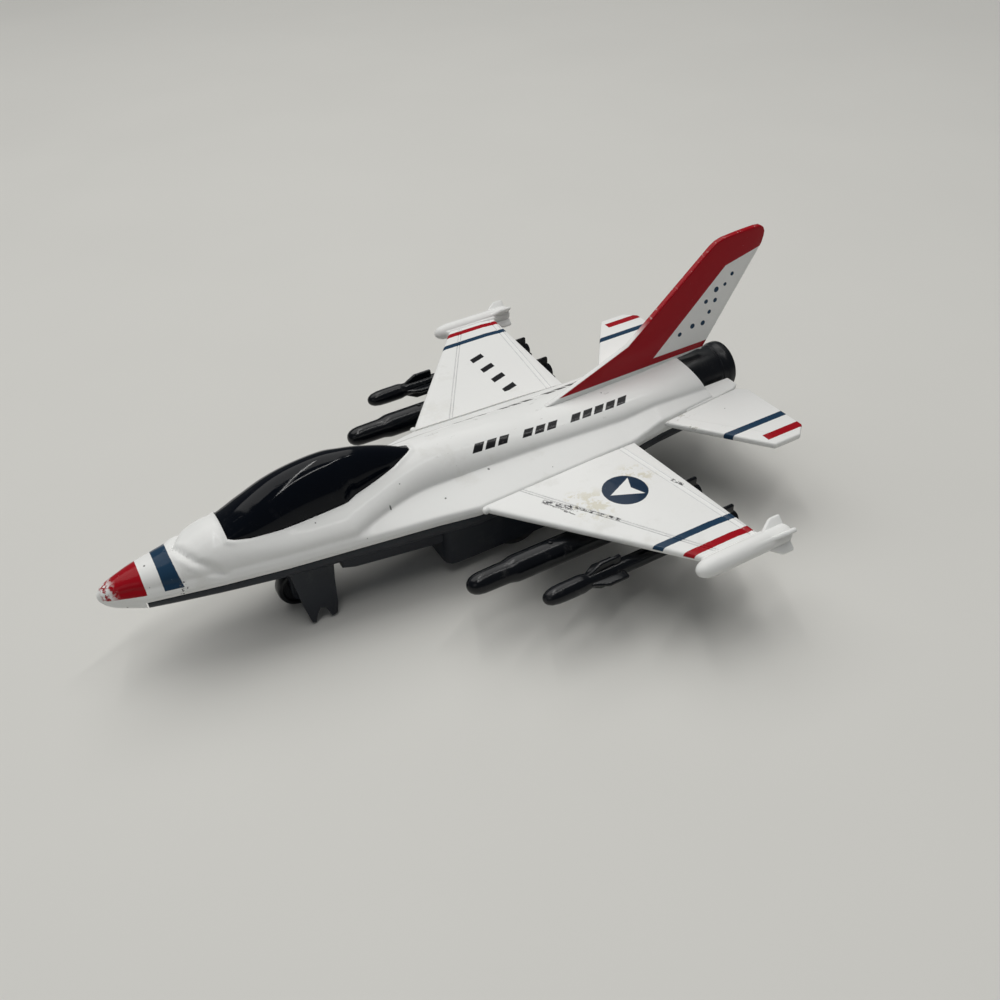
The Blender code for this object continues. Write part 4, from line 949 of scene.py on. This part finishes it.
class TOYJET_OT_cast_body(bpy.types.Operator):
    """Cast upper body with its collar, cockpit rim, creases and the shelves beside the exhaust"""
    bl_idname = "toy_jet.cast_body"
    bl_label = "Cast body"

    def execute(self, context):
        stations = body_stations()
        rows = [body_row(s, True) for s in stations if s < CHIN]
        rows += [body_row(CHIN, True), body_row(CHIN + 0.02, False)]
        rows += [body_row(s, False) for s in stations if s > CHIN + 0.3]
        body = skin("cast_body", rows)
        merge_in(body, self.shelf(1), self.shelf(-1))
        rear = NOZZLE_FRACTION * BODY_LENGTH
        bore_radius, bore_length = 6.5, 30.0
        bore = turned("bore_tool", spot(rear - 0.5, 0, NOZZLE_AXIS),
                      ((bore_radius, -bore_length), (bore_radius, 0.0)), "X", 64)
        merge_in(body, self.hollow(), self.seat(), bore, operation="DIFFERENCE")
        smooth(body, 42)
        finish_piece(body, finish_named("body_enamel"), "airframe", "white_enamel", "fuselage_shell")
        return {"FINISHED"}

    def shelf(self, side):
        """Shelf beside the exhaust, which carries the tailplane."""
        start, edge, end = SHELF_FRACTION * BODY_LENGTH, at(EDGE, 1.0), BODY_LENGTH + SHELF_REACH
        line = [(start, 8.8), (start, at(EDGE, SHELF_FRACTION) - 0.1), (BODY_LENGTH, edge),
                (BODY_LENGTH + SHELF_TAPER, edge - 0.7), (end, 10.8), (end, 7.2), (BODY_LENGTH - 1, 7.2)]
        outline = [(s, side * y) for s, y in line]
        return slab("shelf", outline, PLATE_THICKNESS, spot(0, 0, TAIL_HEIGHT), rounding=0.35)

    def seat(self):
        """Room cut out for the canopy, with a gap all round."""
        floor, top, steps = CANOPY_FLOOR - CAD_GAP, 22.0, 40
        end = CANOPY_START + CANOPY_LENGTH
        walls = [(CANOPY_START + i / steps * CANOPY_LENGTH, at(CANOPY_WIDTH, i / steps) + SEAT_GAP)
                 for i in range(steps + 1)]
        walls = [(CANOPY_START - SEAT_GAP, walls[0][1])] + walls + [(end + SEAT_GAP, CANOPY_WIDTH[-1][1])]
        return skin("seat_tool", [[spot(s, -h, floor), spot(s, h, floor), spot(s, h, top), spot(s, -h, top)]
                                  for s, h in walls])

    def hollow(self):
        """Inside of the casting, lower under the cockpit floor."""
        rows = []
        start, end = CANOPY_START, CANOPY_START + CANOPY_LENGTH
        stations = list(np.linspace(13.0, 141.0, 20)) + [start - 2, start - 1.9, end + 1.9, end + 2]
        for station in sorted(stations):
            f = station / BODY_LENGTH
            top = rounded_at(SPINE, f) - WALL
            if start - 1.95 < station < end + 1.95:
                top = min(top, CANOPY_FLOOR - CAD_GAP - WALL)
            edge = at(EDGE, f)
            width = min(edge - 0.9, rounded_at(CREASE, f)) - WALL
            side = min(SEAM + at(LIP, f) - 0.6, top - 1.5)
            half = [(0.0, SEAM - 2), (width, SEAM - 2), (width, side)]
            for i in range(1, 6):
                angle = math.pi / 2 * i / 5
                half.append((width * math.cos(angle), side + (top - side) * math.sin(angle)))
            loop = half + [(-y, w) for y, w in reversed(half[1:-1])]
            rows.append([spot(station, y, w) for y, w in loop])
        return skin("hollow_tool", rows)


# ---------------------------------------------------------------- canopy

class TOYJET_OT_canopy(bpy.types.Operator):
    """Dark one-piece canopy"""
    bl_idname = "toy_jet.canopy"
    bl_label = "Canopy"

    def execute(self, context):
        ts = [0.0, 0.008] + list(np.linspace(0.02, 0.98, 72)) + [0.992, 1.0]
        rows = []
        for t in ts:
            nearby = [at(CANOPY_WIDTH, min(t + d, 1)) for d in (-0.02, 0, 0.02)]
            width = min(at(CANOPY_WIDTH, t), float(np.mean(nearby)))
            spring, top = at(CANOPY_SPRING, t), rounded_at(CANOPY_TOP, t)
            half = [(0.0, CANOPY_FLOOR), (width * 0.5, CANOPY_FLOOR), (width, CANOPY_FLOOR),
                    (width, (CANOPY_FLOOR + spring) / 2)]
            for i in range(0, 29):
                angle = math.pi / 2 * i / 28
                half.append((width * math.cos(angle), spring + (top - spring) * math.sin(angle)))
            loop = half + [(-y, w) for y, w in reversed(half[1:-1])]
            rows.append([spot(CANOPY_START + t * CANOPY_LENGTH, y, w) for y, w in loop])
        canopy = skin("cockpit_canopy", rows)
        smooth(canopy, 50)
        finish_piece(canopy, finish_named("canopy_gloss"), "airframe", "canopy_plastic", "canopy")
        return {"FINISHED"}


# ---------------------------------------------------------------- wings, tailplanes and fin

def root_line(station):
    """Side distance of a wing's root."""
    return at(EDGE, station / BODY_LENGTH) + ROOT_GAP


def wing_front(y):
    """Station of the wing's front edge."""
    return WING_ROOT + WING_SWEEP * (y - at(EDGE, WING_ROOT / BODY_LENGTH) - CAD_GAP)


def wing_rear(y):
    """Station of the wing's rear edge."""
    return WING_ROOT + ROOT_CHORD + WING_REAR_SWEEP * (y - at(EDGE, WING_ROOT / BODY_LENGTH) - CAD_GAP)


def wing_profile(depth):
    """Columns round the wing's section: share of the chord, millimetres added to it, and height."""
    top = [(0.0, 0.0, 0.0), (0.0, 0.06, 0.34), (0.0, 0.22, 0.6), (0.0, 0.5, 0.78), (0.0, 0.95, 0.88),
           (0.0, 1.6, 0.9)]
    chord, shifts = FRONT_GROOVES
    for shift in shifts:
        top += [(chord, shift - 0.2, 0.9), (chord, shift - 0.08, 0.9 - depth),
                (chord, shift + 0.08, 0.9 - depth), (chord, shift + 0.2, 0.9)]
    top += [(0.4, 0.0, 0.9), (0.55, 0.0, 0.9), (0.7, 0.0, 0.89)]
    chord, shifts = REAR_GROOVES
    for shift in shifts:
        top += [(chord, shift - 0.2, 0.66), (chord, shift - 0.08, 0.66 - depth),
                (chord, shift + 0.08, 0.66 - depth), (chord, shift + 0.2, 0.64)]
    top += [(1.0, -0.25, 0.5), (1.0, -0.08, 0.42), (1.0, 0.0, 0.2)]
    under = [(1.0, 0.0, -0.2), (1.0, -0.08, -0.42), (1.0, -0.25, -0.5), (0.7, 0.0, -0.89), (0.4, 0.0, -0.9),
             (0.0, 1.6, -0.9), (0.0, 0.95, -0.88), (0.0, 0.5, -0.78), (0.0, 0.22, -0.6), (0.0, 0.06, -0.34)]
    return top + under


class TOYJET_OT_wings(bpy.types.Operator):
    """Left and right wings with flap grooves, a rounded front edge and a store on each tip"""
    bl_idname = "toy_jet.wings"
    bl_label = "Wings"

    def execute(self, context):
        rows = []
        front, rear = wing_front(TIP_Y), wing_rear(TIP_Y)
        for share in np.linspace(0.0, 1.0, 25):
            row = []
            for chord, extra, height in wing_profile(sizes().groove_depth):
                root_station = WING_ROOT + chord * ROOT_CHORD + extra
                tip_station = front + chord * (rear - front) + extra
                root_y = root_line(root_station)
                row.append(spot(root_station + share * (tip_station - root_station),
                                root_y + share * (TIP_Y - root_y), height))
            rows.append(row)
        left = skin("left_wing_casting", rows)
        merge_in(left, *self.tip_store(rear), self.knob())
        smooth(left, 40)
        right = mirrored(left, "right_wing_casting")
        smooth(right, 40)
        for obj, hand in ((left, "left"), (right, "right")):
            finish_piece(obj, finish_named(f"{hand}_wing_enamel"), "airframe", "white_enamel", f"{hand}_wing")
        return {"FINISHED"}

    def tip_store(self, wing_end):
        """Slim store cast on the wing tip, with its rail and four fins."""
        rear, r = wing_end + 6.0, TIP_RADIUS
        profile = ((0.05, 24.5), (0.5, 24.4), (1.0, 24.1), (1.5, 23.5), (1.85, 22.7), (2.05, 21.6), (r, 20.2),
                   (r, 12.0), (r, 1.6), (2.05, 0.9), (1.7, 0.3), (1.1, 0.0), (0.05, 0.0))
        tip = turned("tip_store", spot(rear, TIP_Y, 0.0), profile, "X", 36)
        inner_y = 57.9
        outline = [(wing_end - 15.5, inner_y), (wing_end - 17.0, TIP_Y), (wing_end + 2.0, TIP_Y),
                   (wing_end + 0.5, inner_y)]
        pieces = [tip, slab("tip_rail", outline, 2.3, spot(0, 0, 0), rounding=0.6)]
        reach = TIP_FIN_REACH
        outline = [(-0.5, -reach), (-3.4, -reach), (-8.0, -1.0), (-8.0, 1.0), (-3.4, reach), (-0.5, reach)]
        for angle in (45, -45):
            blade = slab("tip_fin", outline, 1.1, Vector((0, 0, 0)), rounding=0.5, segments=4)
            pick_all(blade)
            turn(angle, "X")
            bpy.ops.transform.translate(value=spot(rear, TIP_Y, 0.0))
            pieces.append(leave(blade))
        return pieces

    def knob(self):
        """Small round stub at the front end of the wing's root."""
        deselect()
        place = spot(WING_ROOT + 0.5, root_line(WING_ROOT) + 0.75, 0.25)
        bpy.ops.mesh.primitive_uv_sphere_add(segments=20, ring_count=12, radius=0.9 * MM, location=place)
        return settle(named("root_knob"))


class TOYJET_OT_tailplanes(bpy.types.Operator):
    """Left and right tailplanes with rounded edges"""
    bl_idname = "toy_jet.tailplanes"
    bl_label = "Tailplanes"

    def execute(self, context):
        front, root_y, edge = TAIL_FRACTION * BODY_LENGTH, at(EDGE, TAIL_FRACTION), at(EDGE, 1.0)
        tip = front + TAIL_SWEEP * (TAIL_TIP_Y - root_y)
        rear = front + TAIL_CHORD
        line = [(front, root_y + ROOT_GAP), (tip, TAIL_TIP_Y), (tip + 0.7 * TAIL_TIP_CHORD, TAIL_TIP_Y),
                (tip + TAIL_TIP_CHORD, TAIL_TIP_Y - 3.0), (rear + 2.4, edge + 1.7), (rear, edge - 0.4),
                (BODY_LENGTH, edge + ROOT_GAP)]
        left = slab("left_tailplane_casting", line, PLATE_THICKNESS, spot(0, 0, TAIL_HEIGHT),
                    rounding=sizes().edge_rounding, segments=4)
        smooth(left, 40)
        right = mirrored(left, "right_tailplane_casting")
        for obj, node in ((left, "left_tailplane"), (right, "right_tailplane")):
            smooth(obj, 40)
            finish_piece(obj, finish_named("tail_enamel"), "airframe", "white_enamel", node)
        return {"FINISHED"}


class TOYJET_OT_fin(bpy.types.Operator):
    """Tail fin with a swept front, a rounded cap and a thin rear edge"""
    bl_idname = "toy_jet.fin"
    bl_label = "Tail fin"

    def execute(self, context):
        root = FIN_FRACTION * BODY_LENGTH
        rear = root + FIN_CHORD
        stations = np.linspace(root + 2.0, BODY_LENGTH - 1.0, 8)
        base = [(s, rounded_at(SPINE, s / BODY_LENGTH) - 0.3) for s in stations]
        base += [(rear - 1.5, 8.9), (rear, 8.4)]
        cap = ((0.6, 33.4), (0.1, 35.2), (0.0, 36.5), (0.5, 37.6), (1.6, 38.25), (3.3, FIN_HEIGHT),
               (8.5, 38.2), (13.2, 37.8), (15.0, 37.3), (16.5, 36.4))
        front = ((24.3, 16.8), (5.0, rounded_at(SPINE, FIN_FRACTION) + 1.6), (0.2, 7.85))
        outline = base + [(root + (FIN_REACH - back), w) for back, w in cap]
        outline += [(root + ahead, w) for ahead, w in front]
        fin = slab("tail_fin_casting", outline, PLATE_THICKNESS, spot(0, 0, 0), True, rounding=0.45,
                   segments=4)
        smooth(fin, 40)
        finish_piece(fin, finish_named("fin_gloss_enamel"), "airframe", "fin_enamel", "tail_fin")
        return {"FINISHED"}


# ---------------------------------------------------------------- exhaust, stores, wheels, chassis

class TOYJET_OT_exhaust(bpy.types.Operator):
    """Exhaust pipe with a rolled end ring and a bladed turbine face"""
    bl_idname = "toy_jet.exhaust"
    bl_label = "Exhaust"

    def execute(self, context):
        low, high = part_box("exhaust_nozzle")
        length = (high.x - low.x) / MM
        origin = Vector((low.x, 0.0, (low.z + high.z) / 2))
        pipe = ((0.05, length), (5.7, length), (6.1, length - 0.15), (6.3, length - 0.5), (6.3, 4.3),
                (6.15, 4.1), (6.15, 3.9), (6.3, 3.7), (6.3, 2.5))
        ring = ((6.45, 2.2), (6.58, 1.9), (6.6, 1.5), (6.6, 0.5), (6.5, 0.15), (6.25, 0.0), (5.8, 0.0),
                (5.5, 0.12), (5.3, 0.5), (5.2, 1.2))
        turbine = ((5.2, 13.5), (5.1, 13.7), (2.2, 13.7), (1.9, 13.5), (1.7, 12.6), (1.1, 11.7), (0.05, 11.4))
        nozzle = turned("exhaust_pipe", origin, pipe + ring + turbine, "X", 72)
        blades = []
        blade = slab("blade", [(-0.9, 1.6), (-1.2, 5.25), (0.2, 5.25), (0.2, 1.6)], 0.35, Vector((0, 0, 0)),
                     rounding=0.1, segments=2)
        pick_all(blade)
        turn(32, "Y")
        leave(blade)
        for i in range(sizes().blade_count):
            one = copy_of(blade, f"blade_{i}")
            pick_all(one)
            turn(360 * i / sizes().blade_count, "X")
            bpy.ops.transform.translate(value=origin + Vector((12.8 * MM, 0, 0)))
            blades.append(leave(one))
        bpy.data.objects.remove(blade, do_unlink=True)
        gather(nozzle, *blades)
        smooth(nozzle, 35)
        finish_piece(nozzle, finish_named("exhaust_black"), "airframe", "black_plastic", "exhaust_nozzle")
        return {"FINISHED"}


class TOYJET_OT_stores(bpy.types.Operator):
    """Four stores under the wings with rounded fins and pylons"""
    bl_idname = "toy_jet.stores"
    bl_label = "Stores"

    def execute(self, context):
        inner = ((0.05, 62.0), (0.7, 61.9), (1.3, 61.6), (1.9, 60.9), (2.3, 59.9), (2.5, 58.6), (2.55, 56.0),
                 (2.6, 52.6), (2.8, 51.6), (3.05, 50.6), (3.1, 49.6), (3.1, 38.0), (3.1, 12.0), (3.0, 11.3),
                 (2.5, 10.2), (2.4, 9.6), (2.2, 0.8), (2.0, 0.2), (1.5, 0.0), (0.05, 0.0))
        outer = ((0.05, 51.0), (0.7, 50.8), (1.2, 50.4), (1.7, 49.5), (2.0, 48.0), (2.1, 46.0), (2.1, 41.7),
                 (2.0, 41.0), (1.85, 40.4), (1.8, 39.8), (1.8, 20.0), (1.8, 0.8), (1.6, 0.2), (1.1, 0.0),
                 (0.05, 0.0))
        inner_fins = ((52.0, 61.2, 4.6, 0.55),)
        outer_fins = ((9.3, 19.5, 3.7, 0.5), (43.0, 50.2, 4.0, 0.55))
        for (name, y, fraction, w), profile, fins in ((INNER_STORE, inner, inner_fins),
                                                      (OUTER_STORE, outer, outer_fins)):
            station = fraction * BODY_LENGTH
            length = profile[0][1]
            origin = spot(station + length, y, w)
            store = turned(f"left_{name}_store_body", origin, profile, "X", 36)
            pieces = []
            for front, rear, reach, sweep in fins:
                shoulder = rear - (rear - front) * (1 - sweep)
                half = [(front, 0.9), (shoulder, reach), (rear, reach)]
                outline = [(station + s, -r) for s, r in half] + [(station + s, r) for s, r in reversed(half)]
                pieces.append(slab("fin_level", outline, 1.0, spot(0, y, w), rounding=0.45))
                pieces.append(slab("fin_upright", outline, 1.0, spot(0, y, w), True, rounding=0.45))
            middle = (wing_front(y) + wing_rear(y)) / 2
            line = [(middle - 9.0, -1.0), (middle - 7.0, w), (middle + 8.0, w), (middle + 8.0, -1.0)]
            pieces.append(slab("pylon", line, PYLON_THICKNESS, spot(0, y, 0), True, rounding=0.4))
            if name == "inner":
                lug = ((0.05, 0.55), (0.4, 0.5), (0.6, 0.2), (0.6, -0.4))
                pieces.append(turned("lug", spot(station + 21.0, y, w + 2.9), lug, "Z", 20))
            gather(store, *pieces)
            smooth(store, 40)
            right = mirrored(store, f"right_{name}_store_body")
            for obj, hand in ((store, "left"), (right, "right")):
                smooth(obj, 40)
                finish_piece(obj, finish_named("gloss_black"), "airframe", "black_plastic",
                             f"{hand}_{name}_store")
        return {"FINISHED"}


def wheel_sizes(node):
    """Centre, radius and half width of a packed wheel."""
    low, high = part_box(node)
    return (low + high) / 2, (high.z - low.z) / 2 / MM, (high.y - low.y) / 2 / MM


def wheel_profile(bore, radius, half, rounding, dish):
    """Closed profile of a wheel run down its outer side first, dished on both faces."""
    side = [(bore, half * 0.96), (bore + 0.55, half * 0.96), (bore + 0.75, half - dish),
            (radius * 0.72, half - dish), (radius * 0.78, half - 0.05), (radius - rounding, half),
            (radius - 0.3 * rounding, half - 0.3 * rounding), (radius, half - rounding)]
    return side + [(r, -a) for r, a in reversed(side)] + [side[0]]


class TOYJET_OT_wheels(bpy.types.Operator):
    """Nose wheel, rear wheel hubs and grooved rubber tyres"""
    bl_idname = "toy_jet.wheels"
    bl_label = "Wheels"

    def execute(self, context):
        centre, radius, half = wheel_sizes("nose_wheel")
        nose = turned("nose_wheel_moulding", centre, wheel_profile(1.1, radius, half, 0.7, 0.45), "Y", 64)
        smooth(nose, 35)
        finish_piece(nose, finish_named("wheel_black"), "nose_wheel", "wheel_plastic", "nose_wheel")
        for hand in ("left", "right"):
            centre, radius, half = wheel_sizes(f"{hand}_wheel_hub")
            hub = turned(f"{hand}_hub_moulding", centre, wheel_profile(1.3, radius, half, 0.3, 0.7), "Y", 64)
            ribs = []
            for i in range(6):
                rib = slab("rib", [(-1.5, -0.3), (-1.5, 0.3), (-4.2, 0.42), (-4.2, -0.42)], 2 * (half - 0.25),
                           Vector((0, 0, 0)), rounding=0.12, segments=2)
                pick_all(rib)
                turn(90, "X")
                turn(60 * i, "Y")
                bpy.ops.transform.translate(value=centre)
                ribs.append(leave(rib))
            gather(hub, *ribs)
            smooth(hub, 35)
            finish_piece(hub, finish_named("wheel_black"), "rear_wheelset", "wheel_plastic",
                         f"{hand}_wheel_hub")
            self.tyre(hand)
        return {"FINISHED"}

    def tyre(self, hand):
        """Rubber tyre with grooves across its tread."""
        centre, radius, half = wheel_sizes(f"{hand}_tyre")
        inner = radius - 1.7
        profile = [(inner, half), (inner + 0.35, half), (radius - 0.75, half), (radius - 0.3, half - 0.12),
                   (radius - 0.06, half - 0.42), (radius, half - 0.8), (radius, 0.25), (radius - 0.18, 0.18),
                   (radius - 0.18, -0.18), (radius, -0.25), (radius, 0.8 - half),
                   (radius - 0.06, 0.42 - half), (radius - 0.3, 0.12 - half), (radius - 0.75, -half),
                   (inner + 0.35, -half), (inner, -half), (inner, half)]
        steps = sizes().tread_count * 4
        tyre = turned(f"{hand}_tyre_rubber", centre, profile, "Y", steps)
        for vert in tyre.data.vertices:
            offset = vert.co - centre
            r = math.hypot(offset.x, offset.z)
            step = int(round(math.atan2(offset.x, offset.z) / (2 * math.pi) * steps)) % 4
            if r > (radius - 0.1) * MM and step == 0:
                scale = (r - 0.16 * MM) / r
                vert.co.x = centre.x + offset.x * scale
                vert.co.z = centre.z + offset.z * scale
        smooth(tyre, 30)
        finish_piece(tyre, finish_named("tyre_rubber_finish"), "rear_wheelset", "tyre_rubber", f"{hand}_tyre")


class TOYJET_OT_chassis(bpy.types.Operator):
    """Plastic chassis, nose gear axle and the screws under the body"""
    bl_idname = "toy_jet.chassis"
    bl_label = "Chassis"

    def execute(self, context):
        moulding = cad_copy("chassis", "chassis_moulding")
        soften(moulding, 0.25, 2, 40)
        outward(moulding)
        smooth(moulding, 38)
        finish_piece(moulding, finish_named("satin_chassis"), "airframe", "chassis_plastic", "chassis")
        for node in ("nose_axle", "front_chassis_screw", "rear_chassis_screw"):
            dress(node, "turned_steel")
        return {"FINISHED"}


class TOYJET_OT_motor(bpy.types.Operator):
    """Finishes of the pull-back motor's parts"""
    bl_idname = "toy_jet.motor"
    bl_label = "Motor"

    def execute(self, context):
        for node, finish in (("motor_case_left", "case_nylon"), ("motor_case_right", "case_nylon"),
                             ("mainspring", "spring_steel_finish"), ("rear_axle", "turned_steel"),
                             ("axle_pinion", "motor_nylon_finish"), ("idler_shaft", "turned_steel"),
                             ("idler_gear", "motor_nylon_finish"), ("spring_arbor", "turned_steel"),
                             ("spring_gear", "motor_nylon_finish")):
            dress(node, finish)
        return {"FINISHED"}


def dress(node, finish):
    """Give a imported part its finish."""
    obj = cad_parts[node]
    obj.data.materials.clear()
    obj.data.materials.append(finish_named(finish))


# ---------------------------------------------------------------- stage

class TOYJET_OT_stage(bpy.types.Operator):
    """Pale floor, soft studio light and the camera"""
    bl_idname = "toy_jet.stage"
    bl_label = "Stage"

    def execute(self, context):
        deselect()
        bpy.ops.mesh.primitive_grid_add(x_subdivisions=40, y_subdivisions=40, size=FLOOR_SIZE)
        floor = named("floor")
        settle(floor)
        floor.data.materials.append(finish_named("pale_floor"))
        self.camera()
        for lamp in LAMPS:
            self.lamp(*lamp)
        world = bpy.data.worlds.new("room")
        bpy.context.scene.world = world
        world.use_nodes = True
        background = world.node_tree.nodes["Background"]
        background.inputs["Color"].default_value = ROOM_COLOUR
        background.inputs["Strength"].default_value = ROOM_STRENGTH
        bpy.context.scene.view_settings.view_transform = "Standard"
        return {"FINISHED"}

    def camera(self):
        deselect()
        bpy.ops.object.camera_add(location=spot(*CAMERA_PLACE))
        camera = bpy.context.object
        camera.name = "view_camera"
        axes = Matrix((CAMERA_RIGHT, CAMERA_UP, -Vector(CAMERA_AHEAD))).transposed().to_4x4()
        camera.matrix_world = Matrix.Translation(camera.location) @ axes
        camera.data.lens = CAMERA_LENS
        camera.data.sensor_width = 36.0
        camera.data.clip_start = 0.001
        bpy.context.scene.camera = camera

    def lamp(self, name, location, size, energy, colour):
        bpy.ops.object.light_add(type="AREA", location=location)
        lamp = bpy.context.object
        lamp.name = name
        lamp.data.shape = "RECTANGLE"
        lamp.data.size, lamp.data.size_y = size
        lamp.data.energy = energy
        lamp.data.color = colour
        direction = Vector(LAMP_TARGET) - Vector(location)
        lamp.rotation_euler = direction.to_track_quat("-Z", "Y").to_euler()


STEPS = (TOYJET_OT_cast_body, TOYJET_OT_canopy, TOYJET_OT_wings, TOYJET_OT_tailplanes, TOYJET_OT_fin,
         TOYJET_OT_exhaust, TOYJET_OT_stores, TOYJET_OT_wheels, TOYJET_OT_chassis, TOYJET_OT_motor,
         TOYJET_OT_stage)


class TOYJET_PT_panel(bpy.types.Panel):
    """Sizes, colours and building steps of the toy jet"""
    bl_idname = "TOYJET_PT_panel"
    bl_label = "Toy jet"
    bl_space_type = "VIEW_3D"
    bl_region_type = "UI"
    bl_category = "Toy jet"

    def draw(self, context):
        for group in (context.scene.toy_jet_sizes, context.scene.toy_jet_colours):
            box = self.layout.box()
            for key in group.bl_rna.properties.keys():
                if key not in ("rna_type", "name"):
                    box.prop(group, key)
        for step in STEPS:
            self.layout.operator(step.bl_idname)


CLASSES = (ToyJetSizes, ToyJetColours, *STEPS, TOYJET_PT_panel)


def register():
    for cls in CLASSES:
        bpy.utils.register_class(cls)
    bpy.types.Scene.toy_jet_sizes = bpy.props.PointerProperty(type=ToyJetSizes)
    bpy.types.Scene.toy_jet_colours = bpy.props.PointerProperty(type=ToyJetColours)


def unregister():
    del bpy.types.Scene.toy_jet_sizes
    del bpy.types.Scene.toy_jet_colours
    for cls in reversed(CLASSES):
        bpy.utils.unregister_class(cls)


def main():
    register()
    for step in STEPS:
        group, name = step.bl_idname.split(".")
        getattr(getattr(bpy.ops, group), name)()


if __name__ == "__main__":
    main()
